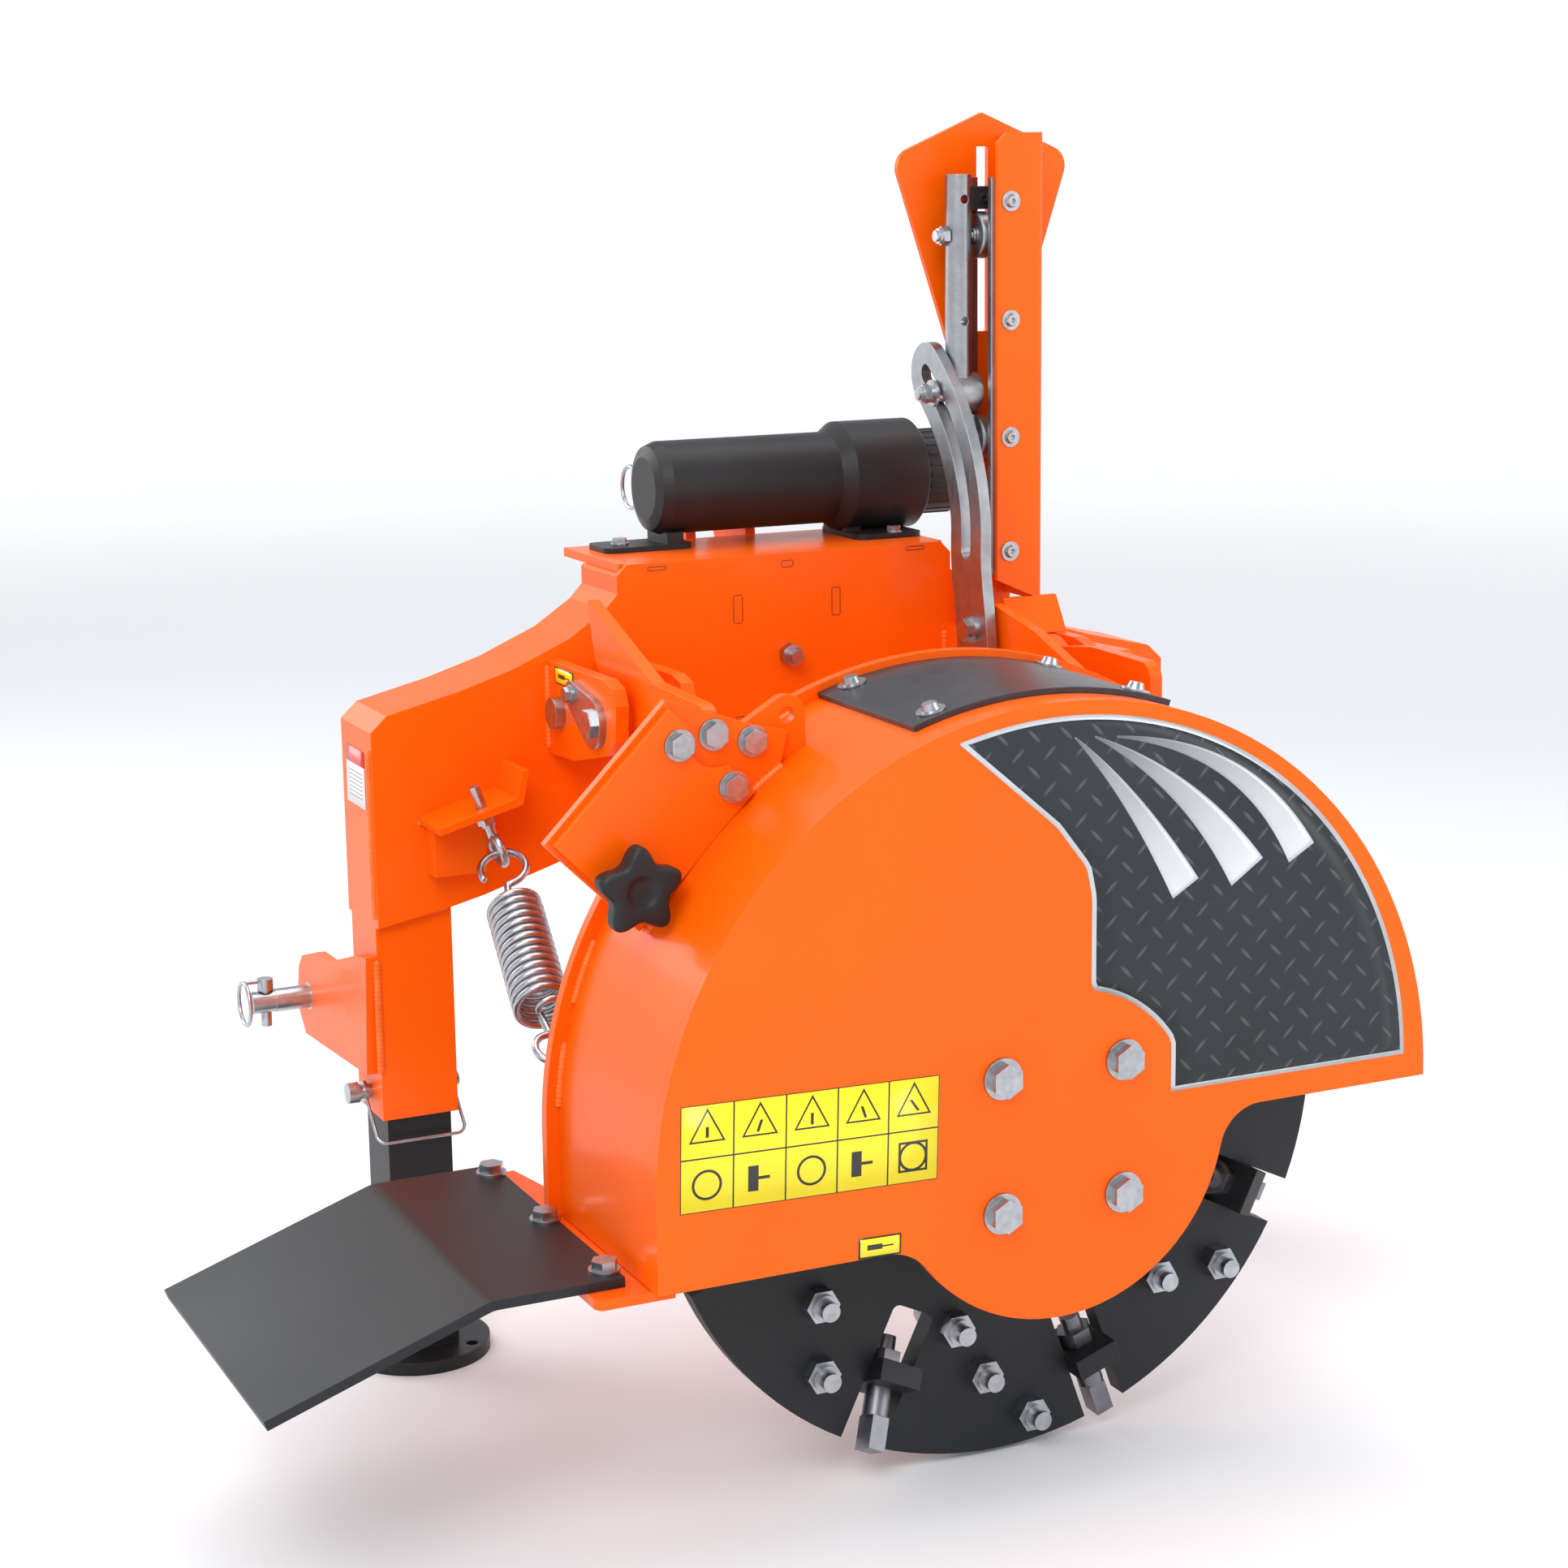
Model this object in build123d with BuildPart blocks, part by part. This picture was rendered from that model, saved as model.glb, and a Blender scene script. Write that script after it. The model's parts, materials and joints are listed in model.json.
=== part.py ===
"""Three-point-hitch stump grinder, in millimetres.

+X runs along the hinge of the grinding head, +Y points to the tractor, +Z is up.  The origin is the
centre of the power take-off shaft's end face, so the cutter disc turns about the Y axis.
"""

from build123d import *
from math import acos, asin, atan2, cos, degrees, hypot, pi, radians, sin, sqrt
import os

os.makedirs("parts", exist_ok=True)

# ---------------------------------------------------------------- driving dimensions
SHAFT_LENGTH = 330.0          # spindle, front end to power take-off end
SHAFT_FRONT_GAP = 10.0        # guard front face to the spindle's front end
FRONT = -(SHAFT_LENGTH + SHAFT_FRONT_GAP)   # Y of the guard's front face
GROUND = -309.0               # Z of the ground under the feet

PLATE = 8.0                   # guard and frame sheet
HEAVY = 12.0                  # ears and swing arms
FIT = 0.05                    # radial running clearance of a shaft in its bore
GAP = 0.3                     # clearance between parts that move past each other

DISC_R = 305.0
DISC_T = 20.0
DISC_FRONT = 101.0            # guard front face to the disc's front face
SHAFT_R = 25.0
STUB_R = 17.45                # 1 3/8 inch power take-off stub
STUB_LENGTH = 62.0

GUARD_R = 350.0
GUARD_DEPTH = 200.0           # guard front face to the rear plate's front face
GUARD_SKIRT = 73.0            # how far the left side drops below the disc's axis
REAR_PLATE_T = 10.0
REAR_PLATE_R = 361.0
LOBE_R = 152.0
RIM_T = 6.0

HINGE_Y = FRONT + 384.0
HINGE_Z = 291.0
PIN_R = 15.0
BOSS_R = 29.0
EAR_OUT = 236.0               # outer face of the outer ears
EAR_IN = 162.0                # inner face of the inner ears
ARM_X = 203.0                 # inner face of the swing arms

FRAME_FRONT = FRONT + 498.0
FRAME_DEPTH = 86.0            # over both side plates
FRAME_END = 401.0             # half width of the frame
FRAME_TOP = 408.0
STEP_X = 163.0                # half width of the raised middle of the frame

TUBE = 70.0                   # parking-leg sleeve, outside
TUBE_WALL = 5.0
LEG = 59.4                    # parking leg, outside
LEG_WALL = 5.0
LEG_X = FRAME_END - TUBE / 2
LEG_Y = FRAME_FRONT + FRAME_DEPTH / 2
SLEEVE_BOTTOM = -75.0
LEG_TRAVEL = 150.0
FOOT_R = 66.0
LOCK_PIN_R = 6.5
LOCK_PIN_Z = -56.0

HITCH_PIN_R = 11.0            # category 1 lower link pin
HITCH_PIN_Y = FRONT + 694.0
HITCH_PIN_Z = -5.0
HITCH_PLATE_T = 10.0
TOP_PIN_R = 9.5               # category 1 top link pin
TOP_PIN_Y = FRONT + 715.0
TOP_PIN_Z = 451.0
TOP_GAP = 52.0                # between the top link clevis plates

BEARING_PITCH = 111.0         # bolt square of the four-bolt flange bearings
BEARING_SIDE = 143.0
BEARING_DEPTH = 50.0
M16 = 8.0
M12 = 6.0
M8 = 4.0

SECTORS = 8                   # tooth pockets round the disc
POCKET_ANGLE = -70.5          # one pocket's angle, from +X about the disc's axis
TIP_R = 311.0

LINK_X = 128.0                # left face of the cam link
LINK_T = 10.0
LINK_HALF = 28.0              # half width of the cam link
TOWER_X = 191.0               # centre of the indicator plate
TRACK_Y = FRONT + 451.0       # line on which the carriage runs
FOLLOWER_Z = 550.0            # follower height with the head at rest
SLOT_ANGLE = 28.0             # head angle at the low end of the cam slot, degrees
CARRIAGE_TRAVEL = 155.0       # follower's drop there
FOLLOWER_R = 8.0
ROLLER_R = 21.0
TOWER_TOP = 780.0
FAN_TOP = 798.0

CAN_R = 43.0
CAN_Z = 463.0
CAN_Y = FRONT + 598.0


# ---------------------------------------------------------------- planes and profiles used often
def facing(y):
    """Upright plane at Y=y seen from the front: local x is +X, local y is +Z, extrudes towards -Y."""
    return Plane(origin=(0, y, 0), x_dir=(1, 0, 0), z_dir=(0, -1, 0))


def across(x):
    """Upright plane at X=x: local x is +Y, local y is +Z, extrudes towards +X."""
    return Plane(origin=(x, 0, 0), x_dir=(0, 1, 0), z_dir=(1, 0, 0))


def along(x, y, z, direction):
    """Plane at a point, with its normal along the given direction."""
    return Plane(origin=(x, y, z), z_dir=direction)


def polygon(points, mode=Mode.ADD):
    """Face through the points, where they stand, for use inside a BuildSketch block."""
    Polygon(*points, align=None, mode=mode)


def side_view(points, mode=Mode.ADD):
    """Face on an across() plane, from pairs of distance behind the guard's front face and height."""
    Polygon(*[(FRONT + y, z) for y, z in points], align=None, mode=mode)


def teardrop(big, big_r, small, small_r):
    """Outline round two circles, inside a BuildSketch block."""
    heading = atan2(small[1] - big[1], small[0] - big[0])
    opening = acos((big_r - small_r) / hypot(small[0] - big[0], small[1] - big[1]))
    corners = []
    for centre, radius, turns in ((big, big_r, (1, -1)), (small, small_r, (-1, 1))):
        for turn in turns:
            angle = heading + turn * opening
            corners.append((centre[0] + radius * cos(angle), centre[1] + radius * sin(angle)))
    polygon(corners)
    with Locations(big):
        Circle(big_r)
    with Locations(small):
        Circle(small_r)


def hex_bolt(x, y, z, direction, radius, length, head_t, washer=True):
    """Flange-head hexagon bolt: the underside of the head is at the point, the shank runs backwards."""
    seat = along(x, y, z, direction)
    with BuildSketch(seat) as head:
        RegularPolygon(radius * 1.75, 6)
    extrude(head.sketch, amount=head_t)
    with BuildSketch(seat) as collar:
        Circle(radius * (2.1 if washer else 1.6))
    extrude(collar.sketch, amount=head_t * 0.25)
    with BuildSketch(seat) as shank:
        Circle(radius)
    extrude(shank.sketch, amount=-length)


def hex_nut(x, y, z, direction, radius, height):
    """Self-locking nut whose seat is at the point, with a plain collar at the far end."""
    seat = along(x, y, z, direction)
    with BuildSketch(seat) as body:
        RegularPolygon(radius * 1.75, 6)
        Circle(radius, mode=Mode.SUBTRACT)
    extrude(body.sketch, amount=height * 0.7)
    with BuildSketch(seat.offset(height * 0.7)) as collar:
        Circle(radius * 1.4)
        Circle(radius, mode=Mode.SUBTRACT)
    extrude(collar.sketch, amount=height * 0.3)


# ---------------------------------------------------------------- grinding head: guard box
def guard_outline(outer, skirt_x):
    """Half-round guard side: round over the top, left skirt, lobe over the bearing."""
    Circle(outer)
    with Locations((0, -outer)):
        Rectangle(4 * outer, 2 * outer, mode=Mode.SUBTRACT)
    with Locations((-skirt_x / 2, -GUARD_SKIRT / 2)):
        Rectangle(skirt_x, GUARD_SKIRT)
    Circle(LOBE_R)
    low = sqrt(LOBE_R ** 2 - GUARD_SKIRT ** 2)
    corners = vertices()
    left = corners.sort_by_distance((-low, -GUARD_SKIRT, 0))[0]
    fillet(left, 45)
    corners = vertices()
    right = corners.sort_by_distance((LOBE_R, 0, 0))[0]
    fillet(right, 38)


BEARING_HOLES = [(i * BEARING_PITCH / 2, j * BEARING_PITCH / 2) for i in (-1, 1) for j in (-1, 1)]

with BuildPart() as guard_front_plate:
    with BuildSketch(facing(FRONT + PLATE)) as front_face:
        guard_outline(GUARD_R, GUARD_R)
        with Locations(*BEARING_HOLES):
            Circle(M16 + 0.5, mode=Mode.SUBTRACT)
    extrude(amount=PLATE)
guard_front_plate.part.label = "guard_front_plate"
export_step(guard_front_plate.part, "parts/guard_front_plate.step")

with BuildPart() as guard_rear_plate:
    with BuildSketch(facing(FRONT + GUARD_DEPTH + REAR_PLATE_T)):
        guard_outline(REAR_PLATE_R, REAR_PLATE_R)
        Circle(42, mode=Mode.SUBTRACT)
        with Locations(*BEARING_HOLES):
            Circle(M16 + 0.5, mode=Mode.SUBTRACT)
    extrude(amount=REAR_PLATE_T)
guard_rear_plate.part.label = "guard_rear_plate"
export_step(guard_rear_plate.part, "parts/guard_rear_plate.step")

FLAP_SPAN = 15.0              # flap bolts, degrees either side of the top
FLAP_FRONT = 48.0
FLAP_REAR = 184.0
FLAP_T = 5.0

with BuildPart() as guard_rim:
    with BuildSketch(facing(FRONT + GUARD_DEPTH)):
        Circle(GUARD_R)
        Circle(GUARD_R - RIM_T, mode=Mode.SUBTRACT)
        with Locations((0, -GUARD_R)):
            Rectangle(4 * GUARD_R, 2 * GUARD_R, mode=Mode.SUBTRACT)
        with Locations((RIM_T / 2 - GUARD_R, -GUARD_SKIRT / 2)):
            Rectangle(RIM_T, GUARD_SKIRT)
    extrude(amount=GUARD_DEPTH - PLATE)
    for side in (-1, 1):
        for depth in (FLAP_FRONT, FLAP_REAR):
            angle = radians(FLAP_SPAN) * side
            out = (sin(angle), 0, cos(angle))
            start = GUARD_R - 2 * RIM_T
            with BuildSketch(along(start * out[0], FRONT + depth, start * out[2], out)):
                Circle(M8 + 0.3)
            extrude(amount=3 * RIM_T, mode=Mode.SUBTRACT)
guard_rim.part.label = "guard_rim"
export_step(guard_rim.part, "parts/guard_rim.step")

# Rubber flap over the top of the guard, narrowing to the bolts at its corners.
FLAP_HALF = 19.0              # half angle of the flap
with BuildPart() as rubber_flap:
    with BuildSketch(facing(FRONT + FLAP_REAR + 16)):
        Circle(GUARD_R + FLAP_T)
        Circle(GUARD_R, mode=Mode.SUBTRACT)
        reach = 2 * GUARD_R
        wide = reach * sin(radians(FLAP_HALF)) / cos(radians(FLAP_HALF))
        polygon([(0, 0), (wide, reach), (-wide, reach)], mode=Mode.INTERSECT)
    extrude(amount=FLAP_REAR - FLAP_FRONT + 32)
    for side in (-1, 1):
        for depth in (FLAP_FRONT, FLAP_REAR):
            angle = radians(FLAP_SPAN) * side
            out = (sin(angle), 0, cos(angle))
            start = GUARD_R - 2 * RIM_T
            with BuildSketch(along(start * out[0], FRONT + depth, start * out[2], out)):
                Circle(M8 + 0.3)
            extrude(amount=4 * RIM_T, mode=Mode.SUBTRACT)
rubber_flap.part.label = "rubber_flap"
export_step(rubber_flap.part, "parts/rubber_flap.step")

with BuildPart() as flap_bolts:
    for side in (-1, 1):
        for depth in (FLAP_FRONT, FLAP_REAR):
            angle = radians(FLAP_SPAN) * side
            out = (sin(angle), 0, cos(angle))
            seat = GUARD_R + FLAP_T
            with BuildSketch(along(seat * out[0], FRONT + depth, seat * out[2], out)):
                Circle(12)
            extrude(amount=1.6)
            seat += 1.6
            with BuildSketch(along(seat * out[0], FRONT + depth, seat * out[2], out)):
                Circle(7.5)
            extrude(amount=5.5, taper=18)
            inward = tuple(-c for c in out)
            with BuildSketch(along(seat * out[0], FRONT + depth, seat * out[2], inward)):
                Circle(M8)
            extrude(amount=FLAP_T + RIM_T + 1.6)
flap_bolts.part.label = "flap_bolts"
export_step(flap_bolts.part, "parts/flap_bolts.step")

# ---------------------------------------------------------------- grinding head: bracket, cover and knob
BRACKET_FRONT = FRONT + 118.0
COVER_W = 100.0
COVER_L = 137.0
COVER_X = -248.5              # middle of the cover's upper edge
COVER_Z = 316.0
COVER_ANGLE = 225.0           # direction in which the cover runs from its upper edge
BOLT_NOTCH_R = 25.0
COVER_BOLTS = [(-277, 323), (-232, 286)]
PLATE_BOLTS = [(-245, 327), (-212, 319)]
KNOB_X = -323.0
KNOB_Z = 219.0


def cover_points(grow):
    """Corners of the cover rectangle, grown on every side."""
    run = (cos(radians(COVER_ANGLE)), sin(radians(COVER_ANGLE)))
    across_run = (run[1], -run[0])
    half = COVER_W / 2 + grow
    corners = []
    for reach, side in ((-grow, 1), (COVER_L + grow, 1), (COVER_L + grow, -1), (-grow, -1)):
        corners.append((COVER_X + run[0] * reach + across_run[0] * half * side,
                        COVER_Z + run[1] * reach + across_run[1] * half * side))
    return corners


with BuildPart() as bracket_plate:
    with BuildSketch(facing(BRACKET_FRONT + PLATE)):
        polygon(cover_points(4))
        polygon([(-285, 358), (-262, 350), (-212, 332), (-181, 324), (-195, 270), (-260, 270)])
        Circle(GUARD_R, mode=Mode.SUBTRACT)
        with Locations(*COVER_BOLTS, *PLATE_BOLTS):
            Circle(M12 + 0.3, mode=Mode.SUBTRACT)
        with Locations((KNOB_X, KNOB_Z)):
            Circle(M12 + 0.3, mode=Mode.SUBTRACT)
    extrude(amount=PLATE)
bracket_plate.part.label = "bracket_plate"
export_step(bracket_plate.part, "parts/bracket_plate.step")

with BuildPart() as cover_plate:
    with BuildSketch(facing(BRACKET_FRONT)):
        polygon(cover_points(0))
        with Locations(PLATE_BOLTS[0]):
            Circle(BOLT_NOTCH_R, mode=Mode.SUBTRACT)
        Circle(GUARD_R + GAP, mode=Mode.SUBTRACT)
        with Locations(*COVER_BOLTS):
            Circle(M12 + 0.3, mode=Mode.SUBTRACT)
        with Locations((KNOB_X, KNOB_Z)):
            Circle(M12 + 0.3, mode=Mode.SUBTRACT)
    extrude(amount=PLATE)
cover_plate.part.label = "cover_plate"
export_step(cover_plate.part, "parts/cover_plate.step")

EYE_X = -178.0
EYE_Z = 335.0
EYE_R = 16.0
EYE_T = 9.0
with BuildPart() as lifting_eye:
    with BuildSketch(facing(BRACKET_FRONT + PLATE + EYE_T)):
        with Locations((EYE_X, EYE_Z)):
            Circle(EYE_R)
        polygon([(EYE_X - 7, EYE_Z + 14.4), (EYE_X + EYE_R, EYE_Z), (EYE_X + EYE_R, EYE_Z - 40),
                 (-250, EYE_Z - 50), (-240, EYE_Z - 18)])
        Circle(GUARD_R, mode=Mode.SUBTRACT)
        with Locations((EYE_X, EYE_Z)):
            Circle(6.5, mode=Mode.SUBTRACT)
        with Locations(*COVER_BOLTS, *PLATE_BOLTS):
            Circle(M12 * 2.2, mode=Mode.SUBTRACT)
    extrude(amount=EYE_T)
lifting_eye.part.label = "lifting_eye"
export_step(lifting_eye.part, "parts/lifting_eye.step")

with BuildPart() as star_knob:
    with BuildSketch(facing(BRACKET_FRONT - PLATE)):
        with Locations((KNOB_X, KNOB_Z)):
            Circle(15)
    extrude(amount=14)
    with BuildSketch(facing(BRACKET_FRONT - PLATE - 14)):
        with Locations((KNOB_X, KNOB_Z)):
            Circle(27)
            with PolarLocations(27, 5, start_angle=90):
                Circle(10.5)
    extrude(amount=20)
    with BuildSketch(facing(BRACKET_FRONT - PLATE)):
        with Locations((KNOB_X, KNOB_Z)):
            Circle(M12)
    extrude(amount=-(2 * PLATE + 12))
star_knob.part.label = "star_knob"
export_step(star_knob.part, "parts/star_knob.step")

# ---------------------------------------------------------------- grinding head: ramp plate on its flange
RAMP_TOP = -66.0
RAMP_T = 8.0
RAMP_RIGHT = -352.0
RAMP_BEND = -470.0
RAMP_TIP_X = -647.0
RAMP_TIP_Z = -127.0
RAMP_FRONT = FRONT + 33.0
RAMP_WIDTH = 292.0
FLANGE_LEFT = -394.0
RAMP_BOLT_X = -372.0
RAMP_BOLTS = [RAMP_FRONT + 20 + i * 126 for i in range(3)]

with BuildPart() as ramp_flange:
    with BuildSketch(Plane.XY.offset(RAMP_TOP - RAMP_T)):
        polygon([(-330, FRONT + 14), (FLANGE_LEFT + 4, FRONT + 14), (FLANGE_LEFT, FRONT + 20),
                 (FLANGE_LEFT, RAMP_FRONT + RAMP_WIDTH), (-345, RAMP_FRONT + RAMP_WIDTH),
                 (-330, FRONT + GUARD_DEPTH + 40)])
        with Locations(*[(RAMP_BOLT_X, y) for y in RAMP_BOLTS]):
            Circle(M12 + 0.3, mode=Mode.SUBTRACT)
    extrude(amount=-PLATE)
ramp_flange.part.label = "ramp_flange"
export_step(ramp_flange.part, "parts/ramp_flange.step")

with BuildPart() as ramp_plate:
    with BuildSketch(facing(RAMP_FRONT + RAMP_WIDTH)):
        with BuildLine():
            FilletPolyline((RAMP_RIGHT - REAR_PLATE_R + GUARD_R - GAP, RAMP_TOP), (RAMP_BEND, RAMP_TOP),
                           (RAMP_TIP_X, RAMP_TIP_Z), radius=30)
            offset(amount=RAMP_T, side=Side.LEFT)
        make_face()
    extrude(amount=RAMP_WIDTH)
    with Locations(*[(RAMP_BOLT_X, y, RAMP_TOP) for y in RAMP_BOLTS]):
        Hole(M12 + 0.3, depth=3 * RAMP_T)
ramp_plate.part.label = "ramp_plate"
export_step(ramp_plate.part, "parts/ramp_plate.step")

M12_HEAD = 9.0
M12_NUT = 11.0
with BuildPart() as flange_bolts:
    for x, z in COVER_BOLTS:
        hex_bolt(x, BRACKET_FRONT - PLATE, z, (0, -1, 0), M12, 2 * PLATE + 14, M12_HEAD)
        hex_nut(x, BRACKET_FRONT + PLATE, z, (0, 1, 0), M12, M12_NUT)
    for x, z in PLATE_BOLTS:
        hex_bolt(x, BRACKET_FRONT, z, (0, -1, 0), M12, PLATE + 14, M12_HEAD)
        hex_nut(x, BRACKET_FRONT + PLATE, z, (0, 1, 0), M12, M12_NUT)
    for y in RAMP_BOLTS:
        hex_bolt(RAMP_BOLT_X, y, RAMP_TOP, (0, 0, 1), M12, RAMP_T + PLATE + 14, M12_HEAD)
        hex_nut(RAMP_BOLT_X, y, RAMP_TOP - RAMP_T - PLATE, (0, 0, -1), M12, M12_NUT)
flange_bolts.part.label = "flange_bolts"
export_step(flange_bolts.part, "parts/flange_bolts.step")

# ---------------------------------------------------------------- grinding head: bearings and spindle
BEARING_SEATS = [(FRONT + PLATE, 1), (FRONT + GUARD_DEPTH + REAR_PLATE_T, 1)]
BEARING_FLANGE_T = 17.0

with BuildPart() as bearing_units:
    for seat, way in BEARING_SEATS:
        with BuildSketch(along(0, seat, 0, (0, way, 0))) as flange_face:
            RectangleRounded(BEARING_SIDE, BEARING_SIDE, 18)
        extrude(amount=BEARING_FLANGE_T)
        with BuildSketch(along(0, seat + way * BEARING_FLANGE_T, 0, (0, way, 0))):
            Circle(53)
        extrude(amount=BEARING_DEPTH - BEARING_FLANGE_T, taper=8)
        with BuildSketch(along(0, seat - 1, 0, (0, way, 0))):
            Circle(SHAFT_R + FIT)
        extrude(amount=BEARING_DEPTH + 2, mode=Mode.SUBTRACT)
        with BuildSketch(along(0, seat - 1, 0, (0, way, 0))):
            with Locations(*BEARING_HOLES):
                Circle(M16 + 0.5)
        extrude(amount=BEARING_DEPTH, mode=Mode.SUBTRACT)
bearing_units.part.label = "bearing_units"
export_step(bearing_units.part, "parts/bearing_units.step")

M16_HEAD = 12.0
M16_NUT = 14.0
with BuildPart() as bearing_bolts:
    for x, z in BEARING_HOLES:
        hex_bolt(x, FRONT, z, (0, -1, 0), M16, PLATE + BEARING_FLANGE_T + 18, M16_HEAD)
        hex_nut(x, FRONT + PLATE + BEARING_FLANGE_T, z, (0, 1, 0), M16, M16_NUT)
        inner = FRONT + GUARD_DEPTH
        hex_bolt(x, inner, z, (0, -1, 0), M16, REAR_PLATE_T + BEARING_FLANGE_T + 18, M16_HEAD)
        hex_nut(x, inner + REAR_PLATE_T + BEARING_FLANGE_T, z, (0, 1, 0), M16, M16_NUT)
bearing_bolts.part.label = "bearing_bolts"
export_step(bearing_bolts.part, "parts/bearing_bolts.step")

SPLINES = 6
with BuildPart() as spindle_shaft:
    with BuildSketch(along(0, -SHAFT_LENGTH, 0, (0, 1, 0))):
        Circle(SHAFT_R)
    extrude(amount=SHAFT_LENGTH - STUB_LENGTH)
    with BuildSketch(along(0, -STUB_LENGTH, 0, (0, 1, 0))):
        Circle(STUB_R)
        with PolarLocations(STUB_R, SPLINES):
            Rectangle(2 * 2.9, 8.0, mode=Mode.SUBTRACT)
    extrude(amount=STUB_LENGTH)
    chamfer(spindle_shaft.faces().sort_by(Axis.Y)[-1].edges(), 1.0)
    with BuildSketch(along(0, -14.0, 0, (0, 1, 0))):
        Circle(STUB_R + 2)
        Circle(STUB_R - 3.2, mode=Mode.SUBTRACT)
    extrude(amount=-7, mode=Mode.SUBTRACT)
spindle_shaft.part.label = "spindle_shaft"
export_step(spindle_shaft.part, "parts/spindle_shaft.step")

HUB_R = 70.0
HUB_T = 30.0
HUB_BOLTS = 6
HUB_PCD_R = 52.0
DISC_BACK = FRONT + DISC_FRONT + DISC_T
with BuildPart() as disc_hub:
    with BuildSketch(facing(DISC_BACK)):
        Circle(HUB_R)
    extrude(amount=-HUB_T * 0.5)
    with BuildSketch(facing(DISC_BACK + HUB_T * 0.5)):
        Circle(HUB_R * 0.6)
    extrude(amount=-HUB_T)
    with BuildSketch(facing(DISC_BACK + 2 * HUB_T)):
        Circle(SHAFT_R)
    extrude(amount=3 * HUB_T, mode=Mode.SUBTRACT)
    with BuildSketch(facing(DISC_BACK + HUB_T)):
        with PolarLocations(HUB_PCD_R, HUB_BOLTS):
            Circle(M12 + 0.2)
    extrude(amount=2 * HUB_T, mode=Mode.SUBTRACT)
disc_hub.part.label = "disc_hub"
export_step(disc_hub.part, "parts/disc_hub.step")

# ---------------------------------------------------------------- cutter disc and its teeth
POCKET_W = 40.0
POCKET_IN = 186.0
HOLDER_R = 250.0
HOLDER_T = 18.0
HOLDER_L = 62.0
TOOTH_R = 11.0
TILTS = (0.0, 26.0, 0.0, -26.0)
STUD_R = 8.0
STUD_RINGS = ((190.0, 12.0), (231.0, 21.0), (274.0, 31.0))
RING_SHIFT = (0.0, 8.0, -8.0, 4.0)


def sector_angle(index):
    """Angle of a pocket, in degrees."""
    return POCKET_ANGLE + index * 360.0 / SECTORS


def pocket_frame(index, radius, tilt):
    """Origin and outward direction of a pocket's tooth, tilted out of the disc's plane."""
    angle = radians(sector_angle(index))
    lean = radians(tilt)
    origin = (radius * cos(angle), DISC_BACK - DISC_T / 2, radius * sin(angle))
    return origin, (cos(angle) * cos(lean), sin(lean), sin(angle) * cos(lean))


def stud_places(index):
    """Centres of the three side-tooth studs of one sector, in the disc's plane."""
    shift = RING_SHIFT[index % len(RING_SHIFT)]
    places = []
    for radius, turn in STUD_RINGS:
        angle = radians(sector_angle(index) + turn)
        places.append(((radius + shift) * cos(angle), (radius + shift) * sin(angle)))
    return places


with BuildPart() as cutter_disc:
    with BuildSketch(facing(DISC_BACK)):
        Circle(DISC_R)
        Circle(SHAFT_R + 0.5, mode=Mode.SUBTRACT)
        with PolarLocations(HUB_PCD_R, HUB_BOLTS):
            Circle(M12 + 0.2, mode=Mode.SUBTRACT)
        for index in range(SECTORS):
            middle = (POCKET_IN + DISC_R + 20) / 2
            place = radians(sector_angle(index))
            with Locations(Location((middle * cos(place), middle * sin(place)), sector_angle(index))):
                Rectangle(DISC_R + 20 - POCKET_IN, POCKET_W, mode=Mode.SUBTRACT)
            with Locations(*stud_places(index)):
                Circle(STUD_R + 0.2, mode=Mode.SUBTRACT)
    extrude(amount=DISC_T)
    fillet(cutter_disc.edges().filter_by(Axis.Y).filter_by(
        lambda edge: abs(hypot(edge.center().X, edge.center().Z) - POCKET_IN) < 4), 6)
cutter_disc.part.label = "cutter_disc"
export_step(cutter_disc.part, "parts/cutter_disc.step")

with BuildPart() as tooth_holders:
    for index in range(SECTORS):
        tilt = TILTS[index % len(TILTS)]
        origin, out = pocket_frame(index, HOLDER_R, tilt)
        angle = radians(sector_angle(index))
        tangent = (-sin(angle), 0, cos(angle))
        base = tuple(c - HOLDER_T / 2 * d for c, d in zip(origin, out))
        with BuildSketch(Plane(origin=base, x_dir=tangent, z_dir=out)):
            Rectangle(POCKET_W, HOLDER_L)
            Circle(TOOTH_R * 0.8, mode=Mode.SUBTRACT)
        extrude(amount=HOLDER_T)
tooth_holders.part.label = "tooth_holders"
export_step(tooth_holders.part, "parts/tooth_holders.step")

with BuildPart() as pocket_teeth:
    for index in range(SECTORS):
        tilt = TILTS[index % len(TILTS)]
        origin, out = pocket_frame(index, HOLDER_R, tilt)
        seat = tuple(c + HOLDER_T / 2 * d for c, d in zip(origin, out))
        inner = tuple(c - (HOLDER_T / 2 + 26) * d for c, d in zip(origin, out))
        angle = radians(sector_angle(index))
        tangent = (-sin(angle), 0, cos(angle))
        with BuildSketch(Plane(origin=inner, x_dir=tangent, z_dir=out)):
            Circle(TOOTH_R * 0.8)
        extrude(amount=HOLDER_T + 26)
        with BuildSketch(Plane(origin=seat, x_dir=tangent, z_dir=out)):
            Circle(TOOTH_R)
        extrude(amount=24)
        tip = tuple(c + 24 * d for c, d in zip(seat, out))
        reach = TIP_R - HOLDER_R - HOLDER_T / 2 - 24
        with BuildSketch(Plane(origin=tip, x_dir=tangent, z_dir=out)):
            Rectangle(16, 2 * TOOTH_R - 2)
        extrude(amount=reach)
        nut = tuple(c - HOLDER_T / 2 * d for c, d in zip(origin, out))
        with BuildSketch(Plane(origin=nut, x_dir=tangent, z_dir=tuple(-c for c in out))):
            RegularPolygon(15.5, 6)
        extrude(amount=13)
pocket_teeth.part.label = "pocket_teeth"
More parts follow.
